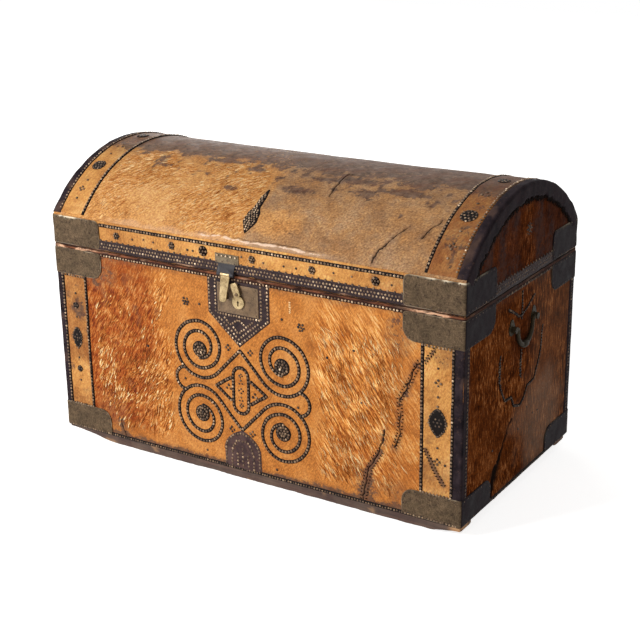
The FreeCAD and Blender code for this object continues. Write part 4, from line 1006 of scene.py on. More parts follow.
def tufts(name, face, area, count, lean, length, width, lift, density, pale, seed, spread, bend):
    """Locks thrown over an area, kept where the density allows; neighbours lean alike."""
    throw = np.random.default_rng(seed)
    u = throw.uniform(area[0], area[1], count)
    v = throw.uniform(area[2], area[3], count)
    kept = throw.uniform(0, 1, count) < density(u, v)
    u, v = u[kept], v[kept]
    total = len(u)
    turns = lean + 16 * cloud(u, v, 40, seed + 1, 2) + throw.normal(0, spread, total)
    lengths = np.clip(throw.normal(length, 0.3 * length, total), 0.4 * length, 1.8 * length)
    tones = np.clip(pale + 0.3 * cloud(u, v, 26, seed + 2, 2) + throw.normal(0, 0.22, total), 0.05, 1)
    widths = width * throw.uniform(0.6, 1.2, total)
    print(name, total, "locks")
    return strands(name, face, np.stack([u, v], axis=-1), turns, throw.normal(0, bend, total), lengths,
                   widths, lift, tones)


def lock_finish():
    recipe = Recipe("hair_locks")
    place = recipe.place()
    mottle = recipe.between(recipe.noise(place, 160, 3), 0.3, 0.7, -0.1, 0.1)
    share = recipe.plus(recipe.attribute("tone"), mottle)
    colour = recipe.ramp(share, (0.1, (116, 54, 14)), (0.4, (178, 102, 38)), (0.68, (218, 152, 80)),
                         (0.98, (255, 226, 170)))
    return recipe.done(colour, recipe.between(share, 0, 1, 0.65, 0.5), 0.0, None, 0.15)


def clear_of_plates(u, v):
    return (np.abs(u) < 352) * ((np.abs(u) < 318) + (v > 76) * (v < 322) > 0)


def left_density(u, v):
    tangled = patches(u, v, 34, 201, -0.4, 0.5, 2)
    low_part = 0.25 + 0.75 * step_up(-v + 40 * cloud(u, v, 60, 202), -235, -165)
    hair = long_hair(u, v) * step_up(-u, 160, 190) * clear_of_plates(u, v)
    return hair * (0.2 + 0.8 * tangled) * low_part


def right_density(u, v):
    tangled = patches(u, v, 40, 203, -0.4, 0.5, 2)
    hair = long_hair(u, v) * step_up(u, 150, 170) * clear_of_plates(u, v)
    far = np.minimum(near_path(u, v, front_tears[0]), near_path(u, v, front_tears[1]))
    return hair * (0.25 + 0.75 * tangled) * step_up(far, 12, 30)


fur_locks = lock_finish()
ticks = np.array([(100.0 + 0.15 * number, 358.0 - 3.6 * number) for number in range(7)])
front_locks = joined("front_hair_locks", [
    strands("ticks", front_face, ticks, np.linspace(8, 40, 7), np.zeros(7), np.full(7, 6.0), np.full(7, 1.7),
            0.5, np.full(7, 0.95)),
    tufts("left_locks", front_face, (-352, -150, 36, 345), 2900, 241, 13, 2.1, 0.6,
          left_density, 0.47, 204, 7, 5),
    tufts("right_locks", front_face, (150, 330, 44, 330), 2900, -60, 17, 1.3, 0.5,
          right_density, 0.66, 205, 8, 12)])
seat(front_locks, fur_locks, "chest_body", "front_hide")


def stitching(path, reach, lift=0.0, gap=6.5):
    """Short dark stitches on both sides of a tear."""
    line = spaced(path, gap)
    ahead = unit(np.gradient(line, axis=0))
    aside = leftwards(ahead)
    rows = []
    for side in (-1, 1):
        starts = line + side * aside * (reach - 2.4) + ahead * 1.6 * side
        turns = np.degrees(np.arctan2(side * aside[:, 1], side * aside[:, 0])) + 25 * side
        bends, lengths, widths, tones = np.outer((0.0, 4.6, 2.0, 0.2), np.ones(len(line)))
        rows.append(strands("stitch", lambda u, v, h: front_face(u, v, h + lift), starts, turns, bends,
                            lengths, widths, 1.2, tones))
    return rows


strip_tears = (((380, 137), (391, 118), (402, 97), (417, 76)), ((379, 300), (386, 310), (396, 324)))
stitches = joined("tear_stitches", stitching(front_tears[0], 4.4) + stitching(front_tears[1][1:], 6.0)
                  + stitching(strip_tears[0], 3.6, 1.3, 6.0) + stitching(strip_tears[1], 3.2, 1.3, 6.0))
seat(stitches, black_leather, "chest_body", "dark_leather")

# %% [markdown]
# The ends are covered with a darker, red-brown hide whose hair lies straight down; its darkness is
# partly the hide's own and partly painted shade, as the right end stands in shade. The right one
# has a long split below the handle. The back hangs against a wall all its life, so it has the
# front's colours without the wear. The left end is taken to be like the right one, unsplit.

# %% Hides on the ends and the back
end_split = (((-31, 131), (-50, 124), (-60, 108), (-69, 93), (-84, 76), (-100, 58), (-110, 34), (-117, 10)),)


def end_masks(u, v, gap):
    pink = 0.9 * blot(u, v, (90, 90), (130, 120), 71)
    edges = 0.6 * step_up(v + 5 * cloud(u, v, 20, 72), 16, 4) + 0.5 * step_up(v, 350, 384)
    sides = 0.7 * step_up(np.abs(u) + 10 * cloud(u, v, 40, 73), 206, 230)
    return dict(hair=(0.5 + 0.5 * patches(u, v, 90, 74, -0.3, 0.4)) * (1 - 0.2 * pink),
                tone=0.12 * pink + 0.6 * blot(u, v, (5, 290), (80, 70), 77),
                bare=0.17 * pink + 0.06 * step_up(u, 0, 90), wear=edges + sides + 0.5 * step_up(gap, 8, 2))


end_u, end_v = steps(1.5 - half_depth, half_depth - 1.5, 3.2), steps(0.4, body_top - 0.4, 3.2)
hide("right_end_hide", right_face, end_u, end_v, end_hide, "chest_body", "end_hide", end_masks, 75,
     end_split, lambda v: 3.4 + 12 * np.exp(-((v - 44) / 26) ** 2))
hide("left_end_hide", left_face, end_u, end_v, end_hide, "chest_body", "end_hide", end_masks, 76)


def back_masks(u, v, gap):
    hair = 0.35 + 0.65 * patches(u, v, 140, 77, -0.3, 0.5)
    edges = 0.7 * step_up(v + 5 * cloud(u, v, 20, 78), 24, 6) + 0.4 * step_up(v, 360, 384)
    return dict(hair=hair, tone=0.7 * patches(u, v, 200, 79, -0.2, 0.6),
                wear=edges + 0.5 * patches(u, v, 60, 80, 0.5, 0.8))


hide("back_hide", back_face, steps(-half_length, half_length, 5), steps(0.4, body_top - 0.4, 5),
     front_hide, "chest_body", "front_hide", back_masks, 81)

# %% [markdown]
# The dome has had the hardest life. Its top is rubbed down to dark grey-purple leather with a
# ragged edge, to the left of the middle seam the hair is still golden, and to the right it has
# turned a dull tan. The seam and the slits are paths again. Along the front edge the leather is
# creased and worn to pale flesh where hands open the lid. On the raised lip there the flesh is
# brightened as a painted highlight, and the sunk line just above it is painted near black as the
# lip's shadow.

# %% Hide over the dome
def on_dome(u, degrees):
    return (u, degrees * degree)


dome_slits = [[on_dome(*spot) for spot in path] for path in (
    ((310, -34), (300, -37), (284, -42), (272, -46), (269, -49.5)),
    ((362, -29.5), (352, -33), (340, -38)), ((121, -11), (122, -18), (123, -26)))]


def dome_masks(u, v, gap):
    side = step_up(u + 8 * cloud(u, v, 30, 82), -8, 14)
    shore = -60 - 18 * step_up(u, -80, 300) + 24 * cloud(u, v, 70, 83) + 12 * cloud(u, v, 14, 84, 2)
    far_shore = v + 30 * cloud(u, v, 70, 85) + 12 * cloud(u, v, 15, 87, 2)
    top = step_up(v - shore, -20, 14) * step_up(far_shore, 100, 78)
    flecks = step_up(cloud(u, v, 15, 86, 3) + 0.75 * step_up(v, -190, -70), 0.95, 1.15)
    spots = [((-271, -21), (26, 7)), ((-313, -11), (22, 10)), ((-85, -28.5), (20, 9)), ((-63, -16), (24, 12)),
             ((55, -25), (44, 12)), ((190, -22), (30, 14)), ((150, -15), (50, 16)), ((-200, -9), (60, 14)),
             ((262, -19), (60, 13)), ((-150, -13), (50, 12)), ((90, -17), (40, 9))]
    dark = np.max([blot(u, v, on_dome(*centre), reach, 90 + number)
                   for number, (centre, reach) in enumerate(spots)], axis=0)
    from_edge = dome_edge + v
    reddish = step_up(from_edge + 5 * cloud(u, v, 34, 88), 14, 5) * step_up(np.abs(u + 60), 300, 200)
    wave = 6.5 + 2.6 * cloud(u, 0 * v, 42, 89, 3) + 1.1 * cloud(u, 0 * v, 9, 90, 1)
    along = step_up(np.abs(u - 25 + 30 * cloud(u, 0 * v, 60, 110)), 165, 110)
    # The lip is raised and worn to pale flesh; that flesh is brightened towards white as a painted highlight.
    lip = step_up(1.9 + 2.4 * cloud(u, v, 8, 125, 3) - np.abs(from_edge - wave), -1.0, 1.4) * along
    # Just above the lip the hide is sunk and painted near black: a painted shadow of the raised lip.
    crease_shadow = np.exp(-((from_edge - wave - 4.6) / 0.9) ** 2) * along * patches(u, v, 12, 126, -0.5, 0.1, 2)
    streaks = patches(u / 5, v, 9, 119, 0.0, 0.7, 2)
    seam = 0.5 * np.exp(-((u + 4 + 2 * cloud(u, v, 30, 123)) / 3) ** 2) * step_up(v, -200, -170)
    streaks = np.maximum(streaks, step_up(u, -60, -240))
    wear = np.maximum((0.72 + 0.28 * streaks) * top, np.maximum(0.8 * dark, 0.7 * flecks))
    wear = np.maximum(wear, seam) + 0.4 * step_up(gap, 10, 2) + 0.25 * side * patches(u, v, 34, 124, 0.1, 0.8)
    hair = (1 - 0.85 * side) * (1 - top) * 0.85 * patches(u, v, 120, 111, -0.9, 0.1)
    golden = 0.8 * blot(u, v, on_dome(45, -40), (70, 36), 113)
    tone = side * (1.0 + 0.2 * cloud(u, v, 90, 112)) * (1 - golden)
    return dict(hair=hair, tone=tone, wear=wear, crack=0.75 * crease_shadow, bare=np.maximum(lip, 0.2 * reddish),
                rise=1.0 * lip - 1.3 * crease_shadow)


fine_rows = steps(0.3 - dome_edge, 16 - dome_edge, 1.0)
dome_rows = np.concatenate([fine_rows, steps(19 - dome_edge, dome_edge - 0.3, 3.6)])
hide("dome_hide", dome_face, steps(-half_length, half_length, 3.6), dome_rows,
     dome_hide, "lid", "front_hide", dome_masks, 115, dome_slits)


def dome_density(u, v):
    bald = dome_masks(u, v, 99.0)
    return np.clip(1 - 1.5 * bald["wear"], 0, 1) * bald["hair"] * clear_of_plates(u, 100)


dome_locks = tufts("dome_hair_locks", dome_face, (-366, -10, -246, -50), 2600, 216, 12, 1.0, 0.3,
                   dome_density, 0.72, 206, 7, 8)
seat(dome_locks, fur_locks, "lid", "front_hide")


def band_masks(u, v, gap):
    return dict(hair=0.12, tone=0.35 * step_up(-u, 120, 240) + 0.6 * step_up(u, 200, 330),
                wear=0.34 * patches(u, v, 20, 116, 0.3, 0.8))


band_v = steps(lid_low + 0.3, band_top - 0.3, 4)
hide("lid_front_hide", front_face, steps(-half_length, half_length, 4), band_v, strip_hide,
     "lid", "front_hide", band_masks, 117)
hide("lid_back_hide", back_face, steps(-half_length, half_length, 6), band_v, strip_hide,
     "lid", "front_hide", band_masks, 118)

# %% [markdown]
# The lid's ends are arched. A square grid is squeezed under the arch: each column of points is
# shortened to the height that the arch has there, so the rows stay even and no edge needs cutting.

# %% Hides on the lid's ends
def arch_top(u):
    return dome_centre + np.sqrt(dome_radius ** 2 - u ** 2)


def lid_end_masks(u, v):
    amber = 0.95 * blot(u, v, (8, 450), (34, 100), 120)
    return dict(hair=0.4 + 0.5 * amber, tone=np.maximum(0.8 * (1 - amber), 0.5 * step_up(-v, -560, -470)),
                wear=0.72 * (1 - amber) * patches(u, v / 2, 26, 121, -0.9, 0.5))


for node, face in (("lid_right_hide", right_face), ("lid_left_hide", left_face)):
    piece, u, share = sheet(node + "_skin", steps(1.5 - half_depth, half_depth - 1.5, 4), steps(0, 1, 0.022))
    low = lid_low + 0.3
    v = low + share * (arch_top(u) - 1.2 - low)
    move_points(piece, face(u, v, 0.3 * cloud(u, v, 60, 122)))
    paint(piece, u, v, **lid_end_masks(u, v))
    thicken(piece, hide_thickness)
    seat(piece, end_hide, "lid", "end_hide", node)
print("hides done")

# %% [markdown]
# Leather trim: a worn rim round the mouth of the box, a dark band round the foot of the lid, tan
# strips beside the corners, dark strips over the upright edges. All are plain strips on a face
# or round the corner. The rim's upper edge has lost its dark coat and shows reddish flesh. The
# rim's top edge and the band's lower edge are painted near black: painted shade in the gap between
# lid and box.

# %% Strips of leather
def trim(piece, u, v, thickness, finish, slot, body, *nodes, **masks):
    paint(piece, u, v, **masks)
    thicken(piece, thickness)
    seat(piece, finish, body, slot, *nodes)


def once(number, node):
    """Of several pieces that are one node of the model, only the first stands for it."""
    return (node,) if number == 0 else ()


seam = corners["rear_left"] - 40


def rubbed_front(s):
    """Hands wear the front of the mouth; the other sides stay dark."""
    return 0.2 + 0.8 * step_up(s, -10, 10) * step_up(-s, -2 * half_length - 6, -2 * half_length + 6)


piece, u, v = strip("rim_leather_strip", around, (seam - girth, seam), (body_top - 12.5, body_top - 0.2),
                    3.2, 1.4, 0.5, rows=1.1)
rubbed = rubbed_front(u)
coat_edge = step_up(v + 1.2 * cloud(u, v, 24, 121, 3), body_top - 5.6, body_top - 4.4)
flesh_edge = step_up(v + 2.0 * cloud(u, v, 12, 125, 3), body_top - 6.6, body_top - 5.2)
patchy = np.maximum(0.7 * patches(u, 0 * v, 46, 126, 0.35, 0.75),
                    1.3 * np.exp(-((u - 2 * half_length + 50) / 50) ** 2) + np.exp(-((u - 50) / 60) ** 2))
splits = 0.8 * patches(u / 9, v, 2.4, 145, 0.5, 0.8, 2) * step_up(v, body_top - 6, body_top - 4)
trim(piece, u, v, 1.4, rim_leather, "rim_leather", "chest_body", "rim_binding",
     wear=coat_edge * patches(u / 7, v, 3, 144, -0.7, 0.5, 2) * rubbed,
     # The top edge is painted near black as painted shade in the gap under the lid; the splits are real
     # cracks.
     crack=np.maximum(step_up(v, body_top - 1.8, body_top - 0.9), splits),
     bare=flesh_edge * patches(u / 4, v, 4, 146, -0.3, 0.3, 2) * rubbed * patchy)

piece, u, v = strip("lid_dark_band", around, (seam - girth, seam), (lid_low + 0.2, lid_low + 20.8),
                    4, 1.4, 0.8, rows=1.6)
trim(piece, u, v, 1.4, dark_leather, "dark_leather", "lid", "lid_edge_bands",
     # The lower edge is painted near black as painted shade in the gap above the box.
     crack=step_up(v, lid_low + 1.7, lid_low + 0.9),
     bare=0.6 * step_up(v + 1.2 * cloud(u, v, 14, 126, 3), lid_low + 3.2, lid_low + 1.8)
     * patches(u, 0 * v, 50, 128, 0.2, 0.7))

front_leg, side_leg = 16.5, 20.5
for number, (name, place) in enumerate(corners.items()):
    legs = (front_leg, side_leg) if name in ("front_right", "rear_left") else (side_leg, front_leg)
    piece, u, v = strip("corner_leather_" + name, around, (place - legs[0], place + legs[1]),
                        (1.0, body_top - 12), 1.6, 1.2, 0.6)
    trim(piece, u, v, 1.2, black_leather, "dark_leather", "chest_body", *once(number, "corner_bindings"),
         wear=0.5 * patches(u, v, 30, 127, 0.45, 0.8))

for number, (side, low, high) in enumerate((("left", -433, -376), ("right", 376, 433))):
    piece, u, v = strip("front_strip_" + side, front_face, (low, high), (51, 334), 3.2, 1.2, 0.4)
    middle = (low + high) / 2
    if number == 0:
        tone = 0.8 - 0.65 * blot(u, v, (middle, 118), (50, 46), 128)
        dirty = 0.75 * blot(u, v, (middle + 4, 262), (20, 26), 131)
    else:
        tone = 0.5 * blot(u, v, (middle, 84), (40, 44), 128)
        tone = tone + 0.3 * blot(u, v, (middle - 20, 210), (20, 60), 138)
        dirty = 0.4 * blot(u, v, (middle + 6, 312), (24, 20), 131)
    stains = (0.6 - 0.3 * number) * patches(u, v, 22, 129 + number, 0.45, 0.75) + dirty
    beside = 0.85 * step_up(near_path(u, v, strip_tears[0]), 5, 3)
    beside = beside + 0.6 * step_up(near_path(u, v, strip_tears[1]), 4, 2)
    trim(piece, u, v, 1.2, strip_hide, "tan_strip", "chest_body", *once(number, "front_strips"),
         hair=0.15, tone=tone, wear=stains + beside)
    reach = dome_edge - 5.5
    piece, u, v = strip("dome_strip_" + side, dome_face, (low + 1, high - 1), (-reach, reach),
                        3.6, 1.2, 0.4, lift=1.5)
    top = step_up(v + 20 * cloud(u, v, 60, 132), -110, -40) * step_up(v, 120, 80)
    mottled = (0.22 + 0.2 * number) * patches(u, v, 24, 133 + number, 0.1, 0.9, 4)
    trim(piece, u, v, 1.2, strip_hide, "tan_strip", "lid", *once(number, "dome_strips"),
         hair=0.1, tone=0.2 + 0.75 * number, wear=0.75 * top + mottled + 0.2 * number)
print("strips done")

# %% [markdown]
# Thick furry leather is folded over both ends of the dome. It is one sheet that climbs the end
# wall, turns over the arched edge and lies on the dome. Its inner edge was cut by hand and is
# jagged. The place on it is w along the arch and r outwards: below zero on the end, above on top.

# %% Leather over the dome's ends
def arch_fold(sign):
    """Face function of the sheet folded over one end of the dome."""
    bend = 3.0

    def face(w, r, lift=0.0):
        w, r, lift = np.broadcast_arrays(w, r, lift)
        turn = w * sign / dome_radius
        angle = np.clip((r + bend) / (2 * bend), 0, 1) * math.pi / 2
        out = lift + bend
        radius = dome_radius - bend + np.minimum(r + bend, 0) + np.sin(angle) * out
        along = half_length - bend - np.maximum(r - bend, 0) + np.cos(angle) * out
        high = dome_centre + z_body + radius * np.cos(turn)
        return np.stack([sign * along, radius * np.sin(turn), high], axis=-1) * mm
    return face


arch_reach, fringe_hairs, fold_thickness = 0.985 * dome_edge, 520, 3.0
for number, (side, sign) in enumerate((("right", 1), ("left", -1))):
    r_stops = np.concatenate([[-26.0, -25.4, -24.4], steps(-22.5, -4.5, 2), steps(-3, 3, 1),
                              steps(5, 15, 2), [16.4, 17.2, 17.6]])
    piece, w, r = sheet("arch_leather_" + side, steps(-arch_reach, arch_reach, 2.6), r_stops)
    inner = step_up(r, -14, -26)
    fringe = inner * (3.2 * cloud(w, r * 0, 7, 135 + number, 2) + 2.2 * cloud(w, r * 0, 26, 137, 2))
    thick = fold_thickness + 0.7 * cloud(w, r, 20, 138 + number, 2)
    lift = thick + rolled(np.minimum(r - r.min(), r.max() - r), fold_thickness, 2.4)
    move_points(piece, arch_fold(sign)(w, r + fringe, lift))
    trim(piece, w, r, fold_thickness, black_leather, "dark_leather", "lid", *once(number, "arch_bindings"),
         wear=0.7 * step_up(r, 1, 5) * patches(w, r, 30, 139, -0.3, 0.4))
    throw = np.random.default_rng(210 + number)
    w = throw.uniform(8 - arch_reach, arch_reach - 8, fringe_hairs)
    starts = np.stack([w, throw.uniform(-26, -21, fringe_hairs)], axis=-1)
    turns, bends = throw.normal(270, 24, fringe_hairs), throw.normal(0, 30, fringe_hairs)
    lengths, widths = throw.uniform(5, 13, fringe_hairs), throw.uniform(1.6, 3.2, fringe_hairs)
    fringe = strands("arch_fringe_" + side, arch_fold(sign), starts, turns, bends, lengths, widths, 2.4,
                     np.full(fringe_hairs, 0.2))
    seat(fringe, black_leather, "lid", "dark_leather")
print("dome ends done")

# %% [markdown]
# Behind the lock lies a leather shield that comes to a point, and at the foot a pointed half oval.
# Both are grids again, with each row made as wide as the outline is at that height.

# %% Shield and foot patch
ornament_x = -9.0
shield_top, shield_shoulder, shield_tip, shield_half = body_top - 12, 311, 251.5, 69.0
foot_shoulder, foot_top, foot_half = 44, 83, 42.0


def shield_width(v):
    return shield_half * np.clip((v - shield_tip) / (shield_shoulder - shield_tip), 0.02, 1)


def foot_width(v):
    rise = np.clip((v - foot_shoulder) / (foot_top - foot_shoulder), 0, 0.985)
    return foot_half * (1 - rise ** 1.75) ** 0.72


for name, width, low, high, finish, node in (
        ("shield_leather", shield_width, shield_tip, shield_top, dark_leather, "shield_patch"),
        ("foot_leather", foot_width, 0.5, foot_top, foot_leather, "foot_patch")):
    share_stops = np.concatenate([[-1, -0.985, -0.96], np.linspace(-0.92, 0.92, 38), [0.96, 0.985, 1]])
    piece, share, v = sheet(name, share_stops, soft_steps(low, high, 2.6), hole=(-0.40, -0.235, *staple_slot))
    u = ornament_x + share * width(v)
    edge = np.minimum((1 - np.abs(share)) * width(v), np.minimum(v - low, high - v))
    move_points(piece, front_face(u, v, 1.2 + 0.2 * cloud(u, v, 20, 141) + rolled(edge, 1.2)))
    trim(piece, u, v, 1.2, finish, "dark_leather", "chest_body", node,
         wear=0.25 * patches(u, v, 26, 142, 0.4, 0.8))
print("patches done")

# %% [markdown]
# Now the paths of the ornament. Each scroll starts with a straight arm at a crossing, meets its
# circle as a tangent and winds inwards in half circles, each with a centre ten millimetres from
# the last. One scroll is worked out, and mirrored to the other three places.

# %% Paths of the scrolls
scroll_middle = sum(end.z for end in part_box("scroll_strips")) / 2 / mm - z_body
strip_width, disc_radius, scroll_step = 7.2, 16.8, 10.0


def scroll_path():
    start = np.array([ornament_x - strip_width, scroll_middle + 80.0 - strip_width])
    centre = np.array([ornament_x - 93.0, scroll_middle + 65.5])
    radius = disc_radius + 4 * scroll_step
    away = start - centre
    begin = math.atan2(away[1], away[0]) - math.acos(radius / np.hypot(*away))
    path = [start[None, :]]
    for turn in range(4):
        end = -math.pi / 2 if turn % 2 else -3 * math.pi / 2
        path.append(arc(centre[0], centre[1], radius, math.degrees(begin), math.degrees(end)))
        begin = -math.pi / 2 if turn % 2 else math.pi / 2
        centre = centre + (0, -scroll_step if turn % 2 else scroll_step)
        radius -= scroll_step
    return np.concatenate(path), centre


def mirrored(path, across=False, down=False):
    copy = np.array(path, float)
    if across:
        copy[:, 0] = 2 * ornament_x - copy[:, 0]
    if down:
        copy[:, 1] = 2 * scroll_middle - copy[:, 1]
    return copy


def flat_disc(name, corners_round, radius, *rings):
    """Flat disc with rings cut into it, so that its edge can be rolled down, and its places."""
    start_clean()
    bpy.ops.mesh.primitive_circle_add(vertices=corners_round, radius=radius, fill_type="NGON")
    piece = bpy.context.object
    piece.name = name
    mode("EDIT")
    for ring in rings:
        bpy.ops.mesh.inset(thickness=ring)
    mode("OBJECT")
    u, v, z = points_of(piece).T
    return piece, u, v, np.hypot(u, v)


first_scroll, disc_centre = scroll_path()
scroll_lines, disc_spots = [], []
for across in (False, True):
    for down in (False, True):
        scroll_lines.append(mirrored(first_scroll, across, down))
        disc_spots.append(mirrored(disc_centre[None, :], across, down)[0])
link = arc(ornament_x - 129, scroll_middle, 23, 97, 263)
capsule_half, cap_radius = 46, 17
straight = capsule_half - cap_radius
capsule = np.concatenate([arc(ornament_x, scroll_middle + straight, cap_radius, 0, 180, 24),
                          arc(ornament_x, scroll_middle - straight, cap_radius, 180, 360, 24)])
point = np.array([(ornament_x + du, scroll_middle + dv) for du, dv in ((-22, 23), (-57, 0), (-22, -23))])
cross = np.array([(ornament_x + du, scroll_middle + dv) for du, dv in ((-12, 68), (0, 80), (12, 68))])
ornament_lines = scroll_lines + [link, mirrored(link, True), point, mirrored(point, True),
                                 cross, mirrored(cross, down=True)]

ribbons = [ribbon("scroll", front_face, path, strip_width, 1.2) for path in ornament_lines]
ribbons.append(ribbon("capsule", front_face, capsule, strip_width, 1.2, True))
for centre in disc_spots:
    disc, u, v, far = flat_disc("disc", 28, disc_radius, 1.2, 6, 5)
    lift = 1.3 + rolled(disc_radius - far, 1.2, 1.2)
    move_points(disc, front_face(centre[0] + u, centre[1] + v, lift))
    apply_modifier(disc, "SOLIDIFY", thickness=1.4 * mm, offset=-1.0)
    ribbons.append(disc)
leather_group("scroll_leather", ribbons, dark_leather, "chest_body", "scroll_strips")

# %% [markdown]
# More ribbons lie under the nail rows that edge the strips, the foot of the box and the lid.

# %% Ribbons under the nail rows
row_width = 7.0
strip_columns, dome_columns = (-436, -379, 372.5, 431), (-377.6, 374)
foot_row, band_row = 3.6, 442
body_ribbons = [ribbon("edge", front_face, ((u, 50), (u, 332)), row_width, 1.9) for u in strip_columns]
body_ribbons += [ribbon("foot", around, ((start, foot_row), (start + length, foot_row)), row_width, 1.3)
                 for start, length in ((4, 892), (904, 467), (1379, 892), (2279, 467))]
leather_group("nail_row_leather", body_ribbons, dark_leather, "chest_body")

reach = dome_edge - 6
lid_ribbons = [ribbon("dome", dome_face, ((u, -reach), (u, 0), (u, reach)), row_width, 1.9)
               for u in dome_columns]
lid_ribbons += [ribbon("band", face, ((-334, band_row), (334, band_row)), row_width, 1.2)
                for face in (front_face, back_face)]
leather_group("lid_row_leather", lid_ribbons, dark_leather, "lid")

# %% [markdown]
# Twelve plates of thin brass are folded over the corners. They are the same plate: a tongue on
# each side of the corner with one well-rounded and one slightly rounded end corner, hammered a
# little uneven. It is made flat, its columns shortened to round the ends, and laid round a corner.
# The four on the lid have a ragged pale band painted along their top edge, where they meet the dome: a
# painted highlight.

# %% Folded corner plates
plate_leg = 116.0
plate_spans = {"lower": (2, 54, 7, 25), "upper": (331, 384, 25, 7), "lid": (lid_low + 2, 449.6, 7, 12)}
plate_bodies = {"lower": "chest_body", "upper": "chest_body", "lid": "lid"}


def rounding(s, radius):
    """How much a rounded end takes off one edge of the plate at s."""
    inside = np.clip(np.abs(s) - (plate_leg - radius), 0, radius)
    return radius - np.sqrt(np.maximum(radius ** 2 - inside ** 2, 0))


def corner_plate(kind, name, place, low, high, low_round, high_round, seed):
    rim = np.array([0.0, 0.6, 1.5])
    leg = np.concatenate([plate_leg - rim, steps(5, plate_leg - 3, 3)[::-1]])
    s_stops = np.concatenate([-leg, steps(-3, 3, 1), leg[::-1]])
    share_stops = np.concatenate([[0, 0.012, 0.03], steps(0.07, 0.93, 0.07), [0.97, 0.988, 1]])
    piece, s, share = sheet(f"folded_{kind}_{name}", s_stops, share_stops)
    bottom, top = low + rounding(s, low_round), high - rounding(s, high_round)
    v = bottom + share * (top - bottom)
    edge = np.minimum(plate_leg - np.abs(s), np.minimum(v - bottom, top - v))
    dents = 0.35 * cloud(s, v, 30, seed, 2) + 0.25 * cloud(s, v, 11, seed + 1, 2)
    lift = 2.5 + dents * step_up(edge, 0, 8) + rolled(edge, 1.2, 1.2)
    move_points(piece, around(place + s, v, lift))
    rubbed = 0.4 * step_up(edge, 1.5, 0.3) * patches(s, v, 18, seed + 3, -0.3, 0.6, 2)
    # Along the lid plates' top edge, where they meet the dome, a ragged pale band is a painted highlight.
    if kind == "lid":
        painted_fold_highlight = step_up(high - v + 1.4 * cloud(s, v, 7, seed + 4, 3), 4.0, 1.5) * step_up(np.abs(s), 95, 50)
        rubbed = np.maximum(rubbed, painted_fold_highlight * patches(s, v, 16, seed + 5, -0.5, 0.1))
    # The leg on an end face gets the tone mask, which the finish turns into painted shade.
    on_end = s > 0 if name in ("front_right", "rear_left") else s < 0
    paint(piece, s, v, wear=rubbed * (1 - 0.7 * on_end), tone=on_end)
    thicken(piece, 2.3)
    seat(piece, plate_brass, plate_bodies[kind], "plate_brass", f"{kind}_plate_{name}")


for number, (name, place) in enumerate(corners.items()):
    for level, (kind, span) in enumerate(plate_spans.items()):
        corner_plate(kind, name, place, *span, 150 + 10 * level + number)
print("plates done")

# %% [markdown]
# With every path known, the nails are driven. Rows follow the ribbons about seven millimetres
# apart; between them are single nails, diamonds of four, rosettes of seven and filled shapes.
# A group names the face it is on, the places, the height of the leather there and the radius.

# %% Small figures of nails
pitch = 6.9


def rosette(u, v, radius=6.2, petals=6):
    turns = np.linspace(0, math.tau, petals, endpoint=False)
    return np.vstack([circle(turns, radius, (u, v)), [(u, v)]])


def diamond(u, v, reach=4.6):
    return np.array([(u - reach, v), (u + reach, v), (u, v - reach), (u, v + reach)])


def triangle(u, v, reach=4.0):
    return np.array([(u, v + reach), (u - reach, v - reach * 0.7), (u + reach, v - reach * 0.7)])


def row(*path, gap=pitch):
    return spaced(path, gap)


def level_row(half, v, gap=pitch):
    return row((-half, v), (half, v), gap=gap)


def filled(width, low, high, centre_u, gap):
    """Rows of nails that fill an outline given by its half width at each height."""
    spots = []
    for number, v in enumerate(np.arange(low + 3, high - 2, gap * 0.87)):
        half = float(width(v)) - 3
        if half > 0:
            us = np.arange(-half, half + 0.1, gap) + (0 if number % 2 else gap / 2)
            spots += [(centre_u + u, v) for u in us if abs(u) <= half + 0.1]
    return np.array(spots)


def outline_row(width, low, high, centre_u, inset=3.6, gap=pitch):
    """Row of nails just inside an outline, up one side and down the other."""
    levels = np.linspace(low, high, 60)
    right = [(centre_u + max(0.0, float(width(v)) - inset), v - inset * (v > high - inset)) for v in levels]
    left = [(2 * centre_u - u, v) for u, v in reversed(right)]
    return spaced(right + left, gap)


def nails(face, lift, radius, pale, *figures):
    """Groups of nails that share all but their places."""
    return [(face, places, lift, radius, pale) for places in figures]


# %% [markdown]
# The tan strips, the dome and the band carry dark lozenges and rosettes of leather under the
# nails, and the dome's seam is mended with a long diamond patch.

# %% Small dark patches
patch_thickness = 1.3


def lozenge(name, face, centre, half_u, half_v, lift, power):
    """Small pointed or oval patch laid on a face."""
    piece, x, y, radius = flat_disc(name, 32, 1, 0.1, 0.4, 0.35)
    turn = np.arctan2(y, x)
    shape = radius / (np.abs(np.cos(turn)) ** power + np.abs(np.sin(turn)) ** power) ** (1 / power)
    u, v = centre[0] + half_u * shape * np.cos(turn), centre[1] + half_v * shape * np.sin(turn)
    move_points(piece, face(u, v, lift + rolled((1 - radius) * half_u, 1.2, 1.2)))
    apply_modifier(piece, "SOLIDIFY", thickness=patch_thickness * mm, offset=-1.0)
    return piece


mend_low, mend_high = -46.5 * degree, -27 * degree


def seam_width(v):
    return np.interp(v, np.array([-46.5, -45, -42, -38, -36, -31, -27]) * degree, [1, 6, 15, 13, 7, 6, 2])


